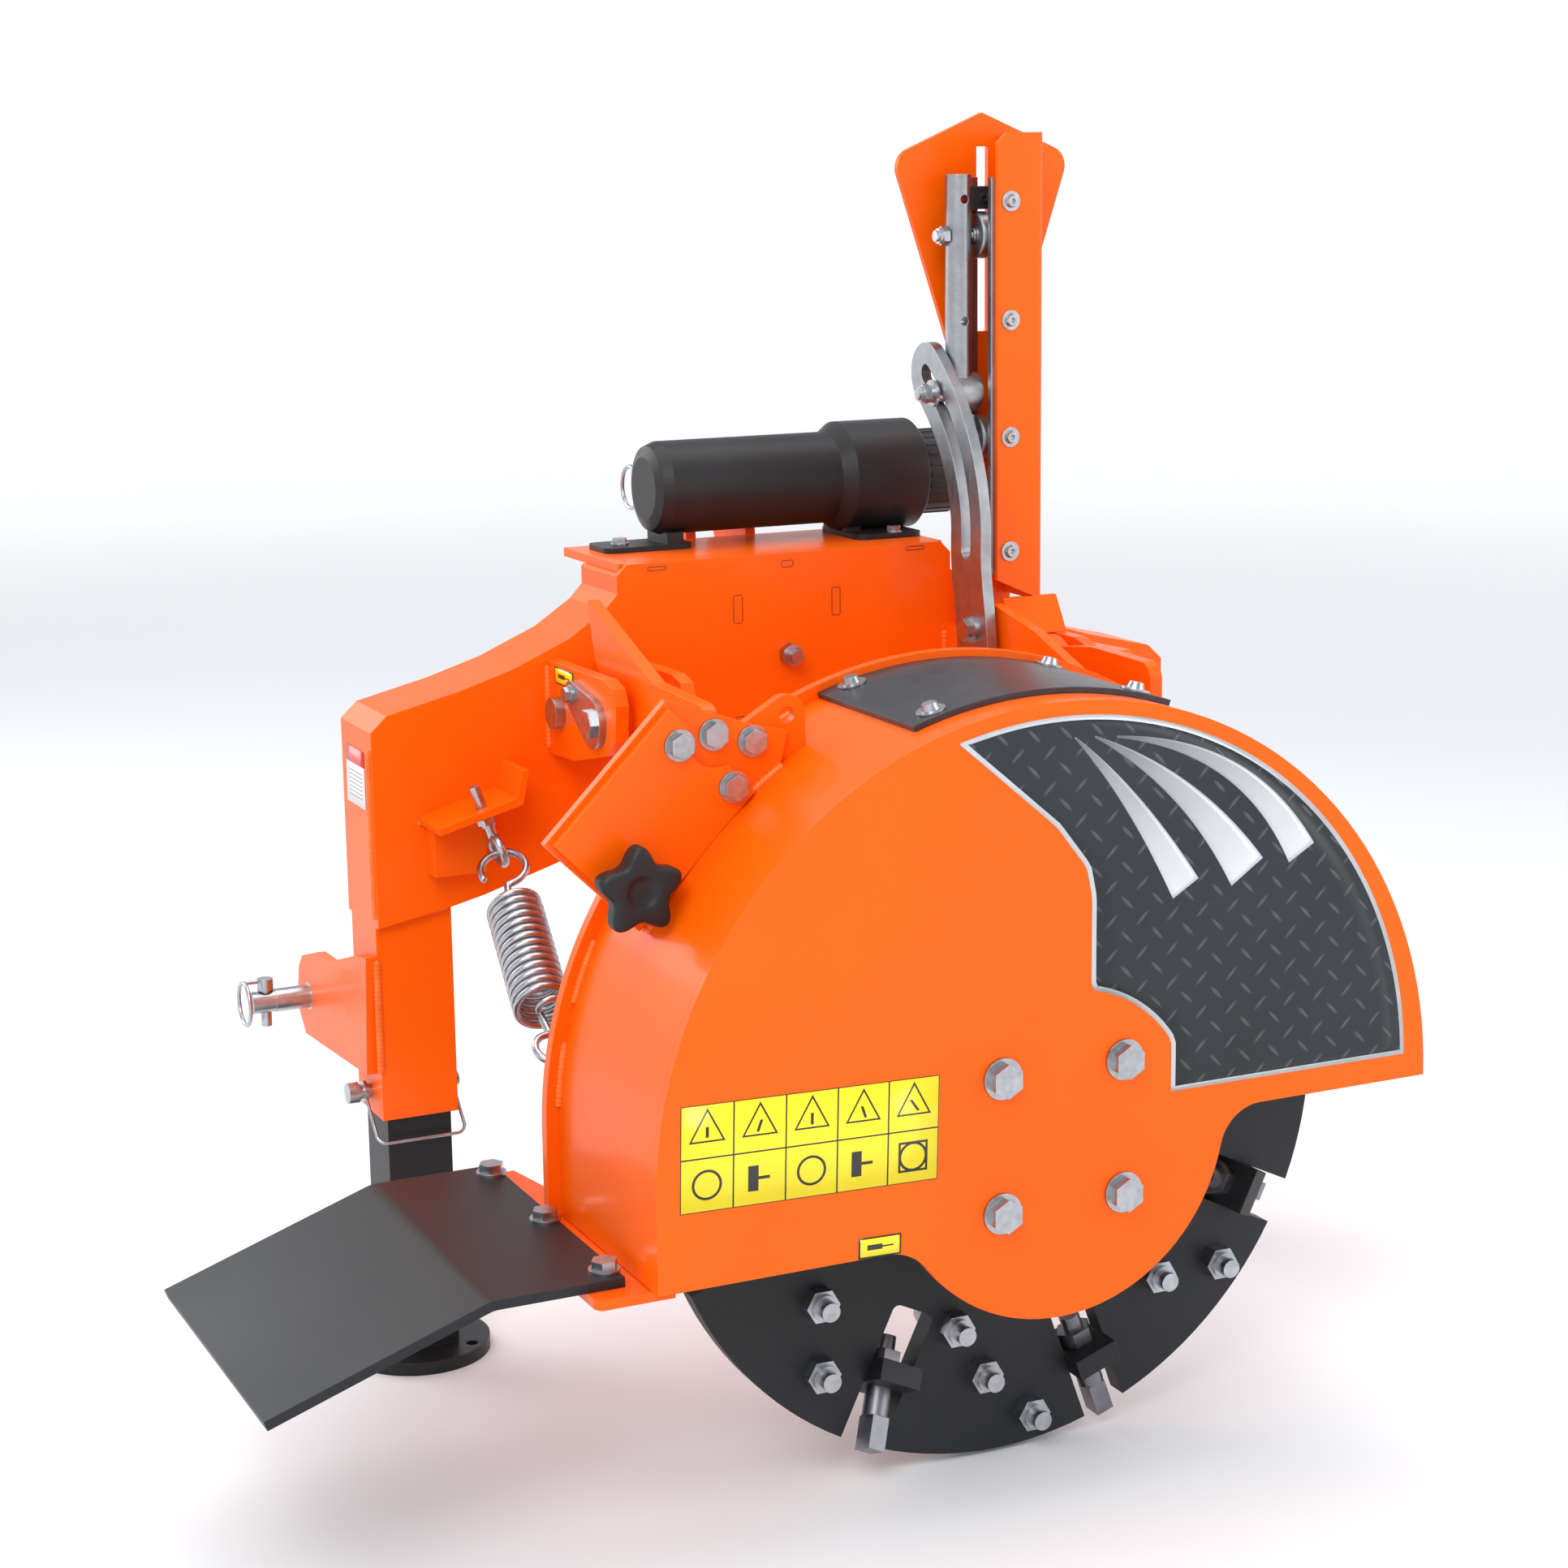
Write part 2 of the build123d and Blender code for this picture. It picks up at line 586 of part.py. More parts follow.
export_step(pocket_teeth.part, "parts/pocket_teeth.step")

with BuildPart() as side_teeth:
    for index in range(SECTORS):
        for x, z in stud_places(index):
            with BuildSketch(facing(DISC_BACK)):
                with Locations((x, z)):
                    Circle(STUD_R)
            extrude(amount=DISC_T + 27)
            with BuildSketch(facing(DISC_BACK - DISC_T)):
                with Locations((x, z)):
                    RegularPolygon(15.0, 6)
            extrude(amount=13)
            with BuildSketch(facing(DISC_BACK - DISC_T - 13)):
                with Locations((x, z)):
                    Circle(11)
            extrude(amount=4)
            with BuildSketch(facing(DISC_BACK)):
                with Locations((x, z)):
                    Circle(14)
            extrude(amount=-22)
            with BuildSketch(facing(DISC_BACK + 22)):
                with Locations((x, z)):
                    Rectangle(16, 16)
            extrude(amount=-12)
side_teeth.part.label = "side_teeth"
export_step(side_teeth.part, "parts/side_teeth.step")

with BuildPart() as hub_bolts:
    for index in range(HUB_BOLTS):
        angle = 2 * pi * index / HUB_BOLTS
        hex_bolt(HUB_PCD_R * cos(angle), DISC_BACK - DISC_T, HUB_PCD_R * sin(angle), (0, -1, 0),
                 M12, DISC_T + HUB_T * 0.5, M12_HEAD)
hub_bolts.part.label = "hub_bolts"
export_step(hub_bolts.part, "parts/hub_bolts.step")

# ---------------------------------------------------------------- grinding head: swing arms
REAR_FACE = FRONT + GUARD_DEPTH + REAR_PLATE_T
HINGE = (HINGE_Y, HINGE_Z)
BOSS_START = EAR_IN + HEAVY + GAP
BOSS_LENGTH = EAR_OUT - EAR_IN - 2 * HEAVY - 2 * GAP
ARM_LOBE_R = 41.0
ARM_LOW = [(407, 257), (210, 120), (210, 299), (202, 299), (202, 332)]
LEFT_ARM = ARM_LOW + [(310, 335), (453, 386), (437, 337), (419, 312)]
RIGHT_ARM = ARM_LOW + [(300, 333), (360, 325), (432, 328), (434, 306), (424, 280)]
ARM_BOLT = (FRONT + 418, 316)

with BuildPart() as swing_arms:
    for points, arm_x, boss_x in ((LEFT_ARM, -ARM_X - HEAVY, -BOSS_START - BOSS_LENGTH),
                                  (RIGHT_ARM, ARM_X, BOSS_START)):
        with BuildSketch(across(arm_x)):
            side_view(points)
            fillet(vertices().sort_by_distance((FRONT + 202, 332, 0))[0], 15)
            with Locations(HINGE):
                Circle(ARM_LOBE_R)
        extrude(amount=HEAVY)
        with BuildSketch(across(boss_x)):
            with Locations(HINGE):
                Circle(BOSS_R)
        extrude(amount=BOSS_LENGTH)
        with BuildSketch(across(boss_x)):
            with Locations(HINGE):
                Circle(PIN_R + FIT)
        extrude(amount=BOSS_LENGTH, mode=Mode.SUBTRACT)
    with BuildSketch(across(ARM_X)):
        with Locations(ARM_BOLT):
            Circle(M12)
    extrude(amount=HEAVY, mode=Mode.SUBTRACT)
swing_arms.part.label = "swing_arms"
export_step(swing_arms.part, "parts/swing_arms.step")

# Third arm, on the head, that carries the cam link.
LINK_BACK = LINK_X + LINK_T
LINK_SPACER = 6.0
LINK_ARM_T = 10.0
LINK_BOLT = (HINGE_Y, HINGE_Z + 52)
LINK_ARM = [(210, 170), (210, 322), (300, 352), (372, 366), (402, 366), (410, 352), (410, 325),
            (395, 312), (330, 250)]
with BuildPart() as cam_link_arm:
    with BuildSketch(across(LINK_BACK + LINK_SPACER)):
        side_view(LINK_ARM)
    extrude(amount=LINK_ARM_T)
    with BuildSketch(across(LINK_BACK)):
        with Locations(LINK_BOLT):
            Circle(2 * M16)
    extrude(amount=LINK_SPACER)
    with BuildSketch(across(LINK_BACK)):
        with Locations(LINK_BOLT):
            Circle(M12)
    extrude(amount=LINK_SPACER + LINK_ARM_T, mode=Mode.SUBTRACT)
cam_link_arm.part.label = "cam_link_arm"
export_step(cam_link_arm.part, "parts/cam_link_arm.step")

DROP_RATE = CARRIAGE_TRAVEL / radians(SLOT_ANGLE)


def cam_point(degrees_out):
    """Follower's place in the head's frame when the head has swung out by an angle in degrees."""
    turn = radians(degrees_out)
    back = TRACK_Y - HINGE_Y
    up = FOLLOWER_Z - HINGE_Z - DROP_RATE * turn
    return (HINGE_Y + back * cos(turn) - up * sin(turn), HINGE_Z + back * sin(turn) + up * cos(turn))


SLOT_OVERRUN = 4.0            # slot past the follower's rest place, degrees of head angle
SLOT_STEPS = 8
cam_path = [cam_point(-SLOT_OVERRUN + i * (SLOT_ANGLE + SLOT_OVERRUN) / SLOT_STEPS)
            for i in range(SLOT_STEPS + 1)]
with BuildPart() as cam_link:
    with BuildSketch(across(LINK_X)):
        with BuildLine():
            Spline(*cam_path, (LINK_BOLT[0], LINK_BOLT[1]), (LINK_BOLT[0] - 2, LINK_BOLT[1] - 34))
        trace(line_width=2 * LINK_HALF)
        with Locations(cam_path[0]):
            Circle(LINK_HALF)
        with BuildLine():
            Spline(*cam_path)
        trace(line_width=2 * (FOLLOWER_R + GAP), mode=Mode.SUBTRACT)
        with Locations(cam_path[0], cam_path[-1]):
            Circle(FOLLOWER_R + GAP, mode=Mode.SUBTRACT)
        with Locations(LINK_BOLT):
            Circle(M12, mode=Mode.SUBTRACT)
    extrude(amount=LINK_T)
cam_link.part.label = "cam_link"
export_step(cam_link.part, "parts/cam_link.step")

THIN_NUT = 6.0
with BuildPart() as arm_bolts:
    hex_bolt(LINK_X, *LINK_BOLT, (-1, 0, 0), M12, LINK_T + LINK_SPACER + LINK_ARM_T + THIN_NUT, 9)
    hex_nut(LINK_BACK + LINK_SPACER + LINK_ARM_T, *LINK_BOLT, (1, 0, 0), M12, THIN_NUT)
    hex_bolt(ARM_X, *ARM_BOLT, (-1, 0, 0), M12, HEAVY + THIN_NUT, 9)
    hex_nut(ARM_X + HEAVY, *ARM_BOLT, (1, 0, 0), M12, THIN_NUT)
arm_bolts.part.label = "arm_bolts"
export_step(arm_bolts.part, "parts/arm_bolts.step")

# ---------------------------------------------------------------- main frame
FRAME_BACK = FRAME_FRONT + FRAME_DEPTH
DECK_Z = FRAME_TOP - PLATE
FRAME_SIDE = [(140, 175), (233, 144), (302, 123), (336, 115), (FRAME_END, 103), (FRAME_END, 278),
              (386, 292), (318, 308), (269, 323), (215, 346), (180, 369), (STEP_X + 5, 382),
              (STEP_X + 5, 398), (STEP_X - 5, FRAME_TOP)]
TIE_BOLT_Z = 315.0


def frame_outline():
    """Outline of the main frame, the same on both sides of the middle."""
    polygon(FRAME_SIDE + [(-x, z) for x, z in reversed(FRAME_SIDE)])


with BuildPart() as frame_front_plate:
    with BuildSketch(facing(FRAME_FRONT + PLATE)):
        frame_outline()
        with Locations((0, TIE_BOLT_Z)):
            Circle(M12, mode=Mode.SUBTRACT)
    extrude(amount=PLATE)
frame_front_plate.part.label = "frame_front_plate"
export_step(frame_front_plate.part, "parts/frame_front_plate.step")

with BuildPart() as frame_rear_plate:
    with BuildSketch(facing(FRAME_BACK)):
        frame_outline()
        with Locations((0, DECK_Z + PLATE)):
            Rectangle(2 * FRAME_END, 2 * PLATE, mode=Mode.SUBTRACT)
        with Locations((0, TIE_BOLT_Z)):
            Circle(M12, mode=Mode.SUBTRACT)
    extrude(amount=PLATE)
frame_rear_plate.part.label = "frame_rear_plate"
export_step(frame_rear_plate.part, "parts/frame_rear_plate.step")

EDGE_T = 6.0
SLEEVE_TOP = 262.0
with BuildPart() as frame_edge_strips:
    with BuildSketch(facing(FRAME_BACK - PLATE)):
        frame_outline()
        offset(amount=-EDGE_T, kind=Kind.INTERSECTION, mode=Mode.SUBTRACT)
        with Locations((-LEG_X, SLEEVE_TOP / 2), (LEG_X, SLEEVE_TOP / 2)):
            Rectangle(TUBE, SLEEVE_TOP, mode=Mode.SUBTRACT)
        with Locations((0, FRAME_TOP)):
            Rectangle(2 * FRAME_END, 2 * PLATE, mode=Mode.SUBTRACT)
    extrude(amount=FRAME_DEPTH - 2 * PLATE)
frame_edge_strips.part.label = "frame_edge_strips"
export_step(frame_edge_strips.part, "parts/frame_edge_strips.step")

DECK_BACK = FRONT + 640.0
CAN_BOLTS = [(-124.0, CAN_Y), (136.0, FRONT + 551.0)]
with BuildPart() as frame_deck:
    with BuildSketch(Plane.XY.offset(DECK_Z)):
        with Locations((0, (FRAME_FRONT + PLATE + DECK_BACK) / 2)):
            Rectangle(2 * STEP_X, DECK_BACK - FRAME_FRONT - PLATE)
        with Locations(*CAN_BOLTS):
            Circle(M8, mode=Mode.SUBTRACT)
    extrude(amount=PLATE)
frame_deck.part.label = "frame_deck"
export_step(frame_deck.part, "parts/frame_deck.step")

for side, sleeve_name in ((-1, "leg_sleeve_left"), (1, "leg_sleeve_right")):
    with BuildPart() as leg_sleeve:
        with BuildSketch(Plane.XY.offset(SLEEVE_BOTTOM)):
            with Locations((side * LEG_X, LEG_Y)):
                Rectangle(TUBE, TUBE)
                Rectangle(TUBE - 2 * TUBE_WALL, TUBE - 2 * TUBE_WALL, mode=Mode.SUBTRACT)
        extrude(amount=SLEEVE_TOP - SLEEVE_BOTTOM)
        with BuildSketch(across(side * LEG_X - TUBE)):
            with Locations((LEG_Y, LOCK_PIN_Z)):
                Circle(LOCK_PIN_R)
        extrude(amount=2 * TUBE, mode=Mode.SUBTRACT)
    leg_sleeve.part.label = sleeve_name
    export_step(leg_sleeve.part, "parts/" + sleeve_name + ".step")

# ---------------------------------------------------------------- parking legs
FOOT_T = 12.0
LEG_TOP = 240.0
RIM_HOLE_R = 5.5
for side, leg_name in ((-1, "parking_leg_left"), (1, "parking_leg_right")):
    with BuildPart() as parking_leg:
        with BuildSketch(Plane.XY.offset(GROUND)):
            with Locations((side * LEG_X, LEG_Y)):
                Circle(FOOT_R)
                with PolarLocations(FOOT_R - 2 * RIM_HOLE_R, 4, start_angle=45):
                    Circle(RIM_HOLE_R, mode=Mode.SUBTRACT)
        extrude(amount=FOOT_T)
        with BuildSketch(Plane.XY.offset(GROUND + FOOT_T)):
            with Locations((side * LEG_X, LEG_Y)):
                Rectangle(LEG, LEG)
                Rectangle(LEG - 2 * LEG_WALL, LEG - 2 * LEG_WALL, mode=Mode.SUBTRACT)
        extrude(amount=LEG_TOP - GROUND - FOOT_T)
        with BuildSketch(across(side * LEG_X - LEG)):
            with Locations((LEG_Y, LOCK_PIN_Z + LEG_TRAVEL / 2)):
                SlotCenterToCenter(LEG_TRAVEL, 2 * (LOCK_PIN_R + GAP), rotation=90)
        extrude(amount=2 * LEG, mode=Mode.SUBTRACT)
    parking_leg.part.label = leg_name
    export_step(parking_leg.part, "parts/" + leg_name + ".step")

PIN_STANDOFF = 12.0           # lock pin beyond the sleeve on each side
LOCK_HEAD_R = 9.5
LOCK_HEAD_T = 10.0
with BuildPart() as leg_pins:
    for side in (-1, 1):
        start = side * LEG_X - TUBE / 2 - PIN_STANDOFF
        with BuildSketch(across(start)):
            with Locations((LEG_Y, LOCK_PIN_Z)):
                Circle(LOCK_PIN_R)
        extrude(amount=TUBE + 2 * PIN_STANDOFF)
        head = start - LOCK_HEAD_T if side < 0 else start + TUBE + 2 * PIN_STANDOFF
        with BuildSketch(across(head)):
            with Locations((LEG_Y, LOCK_PIN_Z)):
                Circle(LOCK_HEAD_R)
        extrude(amount=LOCK_HEAD_T)
leg_pins.part.label = "leg_pins"
export_step(leg_pins.part, "parts/leg_pins.step")

# Wire bail that hangs round each leg from the two ends of its lock pin.
BAIL_WIRE = 1.6
BAIL_REACH = 55.0
BAIL_HALF = TUBE / 2 + PIN_STANDOFF / 2
BAIL_EYE_R = LOCK_PIN_R + 2 * BAIL_WIRE
for side, bail_name in ((-1, "pin_bail_left"), (1, "pin_bail_right")):
    with BuildPart() as pin_bail:
        for end in (-1, 1):
            with BuildSketch(across(side * LEG_X + end * BAIL_HALF - BAIL_WIRE)):
                with Locations((LEG_Y, LOCK_PIN_Z)):
                    Circle(BAIL_EYE_R)
                    Circle(LOCK_PIN_R + FIT, mode=Mode.SUBTRACT)
            extrude(amount=2 * BAIL_WIRE)
        slant = Plane(origin=(side * LEG_X, LEG_Y, LOCK_PIN_Z), x_dir=(1, 0, 0), z_dir=(0, -1, 1))
        with BuildLine(slant) as loop:
            FilletPolyline((-BAIL_HALF, BAIL_WIRE - BAIL_EYE_R), (-BAIL_HALF, -BAIL_REACH),
                           (BAIL_HALF, -BAIL_REACH), (BAIL_HALF, BAIL_WIRE - BAIL_EYE_R), radius=9)
        with BuildSketch(Plane(origin=loop.line @ 0, z_dir=loop.line % 0)) as wire_face:
            Circle(BAIL_WIRE - FIT)
        sweep(wire_face.sketch, path=loop.line)
    pin_bail.part.label = bail_name
    export_step(pin_bail.part, "parts/" + bail_name + ".step")

# ---------------------------------------------------------------- tractor hitch
HITCH_SIDE = [(507, 76), (539, 71), (624, 45), (665, 44), (709, 31), (722, 18), (730, -12), (729, -24),
              (708, -45), (518, -34)]
LOWER_PIN_END = 466.0
LINCHPIN_R = 5.0
LINCHPIN_X = 452.0
PIN_ROOT_R = HITCH_PIN_R + 2.0     # pin where it sits in its plate
PIN_TIP_R = HITCH_PIN_R - 0.5      # pin past the link ball's seat
BALL_SEAT_END = LINCHPIN_X - 8.0   # outer end of the link ball's seat
PIN_COLLAR = 3.0
PLATE_OUT = FRAME_END + HITCH_PLATE_T
with BuildPart() as hitch_plates:
    for start in (-FRAME_END - HITCH_PLATE_T, FRAME_END):
        with BuildSketch(across(start)):
            side_view(HITCH_SIDE)
            with Locations((HITCH_PIN_Y, HITCH_PIN_Z)):
                Circle(PIN_ROOT_R, mode=Mode.SUBTRACT)
        extrude(amount=HITCH_PLATE_T)
hitch_plates.part.label = "hitch_plates"
export_step(hitch_plates.part, "parts/hitch_plates.step")

CLEVIS_T = 10.0
CLEVIS_SIDE = [(584, 250), (584, 399.7), (646, 399.7), (652, 470), (690, 491), (735, 480), (741, 460),
               (741, 432), (680, 330)]
with BuildPart() as toplink_clevis:
    for start in (-TOP_GAP / 2 - CLEVIS_T, TOP_GAP / 2):
        with BuildSketch(across(start)):
            side_view(CLEVIS_SIDE)
            with Locations((TOP_PIN_Y, TOP_PIN_Z)):
                Circle(TOP_PIN_R, mode=Mode.SUBTRACT)
        extrude(amount=CLEVIS_T)
toplink_clevis.part.label = "toplink_clevis"
export_step(toplink_clevis.part, "parts/toplink_clevis.step")

TOP_PIN_LEFT = 58.0
TOP_LINCHPIN_X = 47.0
with BuildPart() as hitch_pins:
    for side in (-1, 1):
        for near, far, radius in (
                (FRAME_END - 3 * PIN_COLLAR, FRAME_END, 1.5 * HITCH_PIN_R),
                (FRAME_END - PIN_COLLAR, PLATE_OUT, PIN_ROOT_R),
                (PLATE_OUT, BALL_SEAT_END, HITCH_PIN_R),
                (BALL_SEAT_END, LOWER_PIN_END, PIN_TIP_R)):
            with BuildSketch(across(near if side > 0 else -far)):
                with Locations((HITCH_PIN_Y, HITCH_PIN_Z)):
                    Circle(radius)
            extrude(amount=far - near)
        with BuildSketch(Plane.XY.offset(HITCH_PIN_Z - 2 * HITCH_PIN_R)):
            with Locations((side * LINCHPIN_X, HITCH_PIN_Y)):
                Circle(LINCHPIN_R + GAP)
        extrude(amount=4 * HITCH_PIN_R, mode=Mode.SUBTRACT)
    with BuildSketch(across(-TOP_PIN_LEFT)):
        with Locations((TOP_PIN_Y, TOP_PIN_Z)):
            Circle(TOP_PIN_R)
    extrude(amount=TOP_PIN_LEFT + TOP_GAP / 2 + CLEVIS_T)
    with BuildSketch(across(TOP_GAP / 2 + CLEVIS_T)):
        with Locations((TOP_PIN_Y, TOP_PIN_Z)):
            Circle(1.5 * TOP_PIN_R)
    extrude(amount=2 * PIN_COLLAR)
    with BuildSketch(Plane.XY.offset(TOP_PIN_Z - 2 * TOP_PIN_R)):
        with Locations((-TOP_LINCHPIN_X, TOP_PIN_Y)):
            Circle(LINCHPIN_R + GAP)
    extrude(amount=4 * TOP_PIN_R, mode=Mode.SUBTRACT)
hitch_pins.part.label = "hitch_pins"
export_step(hitch_pins.part, "parts/hitch_pins.step")

# Linchpins: shank through the pin, head on top, spring ring hanging over the pin's end.
RING_R = 20.0
RING_WIRE = 2.0
RING_OFF = 6.0
for lin_name, lin_x, pin_end, lin_y, lin_z, pin_r in (
        ("linchpin_left", -LINCHPIN_X, -LOWER_PIN_END, HITCH_PIN_Y, HITCH_PIN_Z, HITCH_PIN_R),
        ("linchpin_right", LINCHPIN_X, LOWER_PIN_END, HITCH_PIN_Y, HITCH_PIN_Z, HITCH_PIN_R),
        ("linchpin_top", -TOP_LINCHPIN_X, -TOP_PIN_LEFT, TOP_PIN_Y, TOP_PIN_Z, TOP_PIN_R)):
    outward = 1 if lin_x > 0 else -1
    ring_x = pin_end + outward * RING_OFF
    with BuildPart() as linchpin:
        with BuildSketch(Plane.XY.offset(lin_z - pin_r - 12)):
            with Locations((lin_x, lin_y)):
                Circle(LINCHPIN_R)
        extrude(amount=2 * pin_r + 12 + GAP)
        with BuildSketch(Plane.XY.offset(lin_z + pin_r + GAP)):
            with Locations((lin_x, lin_y)):
                Circle(1.5 * LINCHPIN_R)
        extrude(amount=RING_R - pin_r + RING_WIRE)
        with BuildSketch(across(min(lin_x, ring_x))):
            with Locations((lin_y, lin_z + RING_R)):
                Circle(RING_WIRE)
        extrude(amount=abs(ring_x - lin_x))
        with Locations(Plane(origin=(ring_x, lin_y, lin_z), z_dir=(1, 0, 0))):
            Torus(RING_R, RING_WIRE)
    linchpin.part.label = lin_name
    export_step(linchpin.part, "parts/" + lin_name + ".step")

# ---------------------------------------------------------------- head hinge on the frame
EAR_SIDE = [(498, 245), (498, 329), (365, 331), (346, 326), (339, 312), (342, 281), (363, 266), (440, 248)]
LOCK_EAR_SIDE = [(498, 245), (498, 312), (350, 318), (326, 300), (326, 276), (345, 258)]
LOCK_EAR_X = 262.0
STOP_PIN = (FRONT + 470.0, 286.0)
STOP_PIN_R = 14.0
STOP_PIN_PROUD = 9.0
with BuildPart() as hinge_ears:
    for start in (-EAR_OUT, -EAR_IN - HEAVY, EAR_IN, EAR_OUT - HEAVY):
        with BuildSketch(across(start)):
            side_view(EAR_SIDE)
            with Locations(HINGE):
                Circle(PIN_R, mode=Mode.SUBTRACT)
        extrude(amount=HEAVY)
    with BuildSketch(across(LOCK_EAR_X)):
        side_view(LOCK_EAR_SIDE)
        with Locations((FRONT + 390, 288)):
            Circle(HEAVY, mode=Mode.SUBTRACT)
    extrude(amount=HEAVY)
hinge_ears.part.label = "hinge_ears"
export_step(hinge_ears.part, "parts/hinge_ears.step")

RETAINER_T = 6.0
RETAINER_BOLT = (FRONT + 430.0, 309.0)
PIN_DOME = 5.0
with BuildPart() as hinge_pins:
    for start in (-EAR_OUT - RETAINER_T, EAR_OUT):
        with BuildSketch(across(start)):
            teardrop(HINGE, 22, RETAINER_BOLT, 12)
            with Locations(RETAINER_BOLT):
                Circle(M8, mode=Mode.SUBTRACT)
        extrude(amount=RETAINER_T)
    for side in (-1, 1):
        start = EAR_IN if side > 0 else -EAR_OUT - RETAINER_T
        with BuildSketch(across(start)):
            with Locations(HINGE):
                Circle(PIN_R)
        extrude(amount=EAR_OUT + RETAINER_T - EAR_IN)
        dome = EAR_OUT + RETAINER_T if side > 0 else -EAR_OUT - RETAINER_T - PIN_DOME
        with BuildSketch(across(dome)):
            with Locations(HINGE):
                RegularPolygon(PIN_R - 2, 6)
        extrude(amount=PIN_DOME)
        with BuildSketch(across(EAR_OUT if side > 0 else -EAR_OUT - STOP_PIN_PROUD)):
            with Locations(STOP_PIN):
                Circle(STOP_PIN_R)
        extrude(amount=STOP_PIN_PROUD)
hinge_pins.part.label = "hinge_pins"
export_step(hinge_pins.part, "parts/hinge_pins.step")

CAN_FOOT_T = 5.0
with BuildPart() as frame_bolts:
    hex_bolt(0, FRAME_BACK, TIE_BOLT_Z, (0, 1, 0), M12, FRAME_DEPTH + 20, 8)
    hex_nut(0, FRAME_FRONT, TIE_BOLT_Z, (0, -1, 0), M12, 14)
    for side in (-1, 1):
        hex_bolt(side * (EAR_OUT + RETAINER_T), *RETAINER_BOLT, (side, 0, 0), M8, RETAINER_T, 6)
    for x, y in CAN_BOLTS:
        hex_bolt(x, y, FRAME_TOP + CAN_FOOT_T, (0, 0, 1), M8, CAN_FOOT_T + PLATE, 6)
frame_bolts.part.label = "frame_bolts"
export_step(frame_bolts.part, "parts/frame_bolts.step")

# ---------------------------------------------------------------- spring and its two fixings
SHELF_FRONT = FRONT + 440.0
SHELF_T = 6.0
SHELF_SLOPE = radians(16.0)
EYE_TILT = radians(19.0)
EYE_BOLT_R = 5.0
EYE_RING_R = 13.0
EYE_WIRE = 4.0
EYE_TOP = Vector(-324, FRONT + 454, 232)
EYE_DOWN = Vector(sin(EYE_TILT), 0, -cos(EYE_TILT))
EYE_CENTRE = EYE_TOP + EYE_DOWN * 62
EYE_NORMAL = Vector(cos(EYE_TILT), 0, sin(EYE_TILT))
ANCHOR = Vector(-335, FRONT + 238, 42)
LUG_T = 8.0
LUG_HOLE_R = 8.0
SPRING_WIRE = 3.25
SPRING_R = 21.5
SPRING_TURNS = 15
SPRING_PITCH = 8.6
TOP_HOOK_R = 20.0
LOW_HOOK_R = 15.0

with BuildPart() as spring_bracket:
    with BuildSketch(facing(FRAME_FRONT)):
        rise = 72 * sin(SHELF_SLOPE)
        polygon([(-362, 200), (-290, 200 + rise), (-283, 244), (-277, 244), (-284, 194 + rise),
                 (-360, 194)])
    extrude(amount=FRAME_FRONT - SHELF_FRONT)
    with BuildSketch(facing(FRAME_FRONT)):
        polygon([(-354, 196), (-306, 208), (-306, 149), (-354, 149)])
    extrude(amount=22)
    with BuildSketch(along(*EYE_TOP, EYE_DOWN)) as bolt_hole:
        Circle(EYE_BOLT_R)
    extrude(bolt_hole.sketch, amount=45, mode=Mode.SUBTRACT)
spring_bracket.part.label = "spring_bracket"
export_step(spring_bracket.part, "parts/spring_bracket.step")

with BuildPart() as eye_bolt:
    with BuildSketch(along(*EYE_TOP, EYE_DOWN)) as stud:
        Circle(EYE_BOLT_R)
    extrude(stud.sketch, amount=62 - EYE_RING_R)
    with Locations(Plane(origin=EYE_CENTRE, z_dir=EYE_NORMAL)):
        Torus(EYE_RING_R, EYE_WIRE)
    hex_nut(*(EYE_TOP + EYE_DOWN * 30), EYE_DOWN, EYE_BOLT_R, 8)
eye_bolt.part.label = "eye_bolt"
export_step(eye_bolt.part, "parts/eye_bolt.step")

with BuildPart() as spring_lug:
    with BuildSketch(across(ANCHOR.X - LUG_T / 2)):
        polygon([(REAR_FACE, ANCHOR.Z - 18), (REAR_FACE, ANCHOR.Z + 18), (ANCHOR.Y, ANCHOR.Z + 16),
                 (ANCHOR.Y, ANCHOR.Z - 16)])
        with Locations((ANCHOR.Y, ANCHOR.Z)):
            Circle(2 * LUG_HOLE_R)
            Circle(LUG_HOLE_R, mode=Mode.SUBTRACT)
    extrude(amount=LUG_T)
spring_lug.part.label = "spring_lug"
export_step(spring_lug.part, "parts/spring_lug.step")

PULL = (ANCHOR - EYE_CENTRE).normalized()
HOOK_REST = 1.8
top_edge = EYE_CENTRE + PULL * (EYE_RING_R - EYE_WIRE - SPRING_WIRE - HOOK_REST)
low_edge = ANCHOR - PULL * (LUG_HOLE_R - SPRING_WIRE - HOOK_REST)
top_ring = top_edge + PULL * TOP_HOOK_R
low_ring = low_edge - PULL * LOW_HOOK_R
coil_length = SPRING_TURNS * SPRING_PITCH
coil_middle = (top_ring + PULL * TOP_HOOK_R + low_ring - PULL * LOW_HOOK_R) * 0.5
coil_top = coil_middle - PULL * (coil_length / 2)
coil_low = coil_middle + PULL * (coil_length / 2)
hook_normal = PULL.cross(EYE_NORMAL).normalized()
lug_normal = PULL.cross(Vector(1, 0, 0)).normalized()
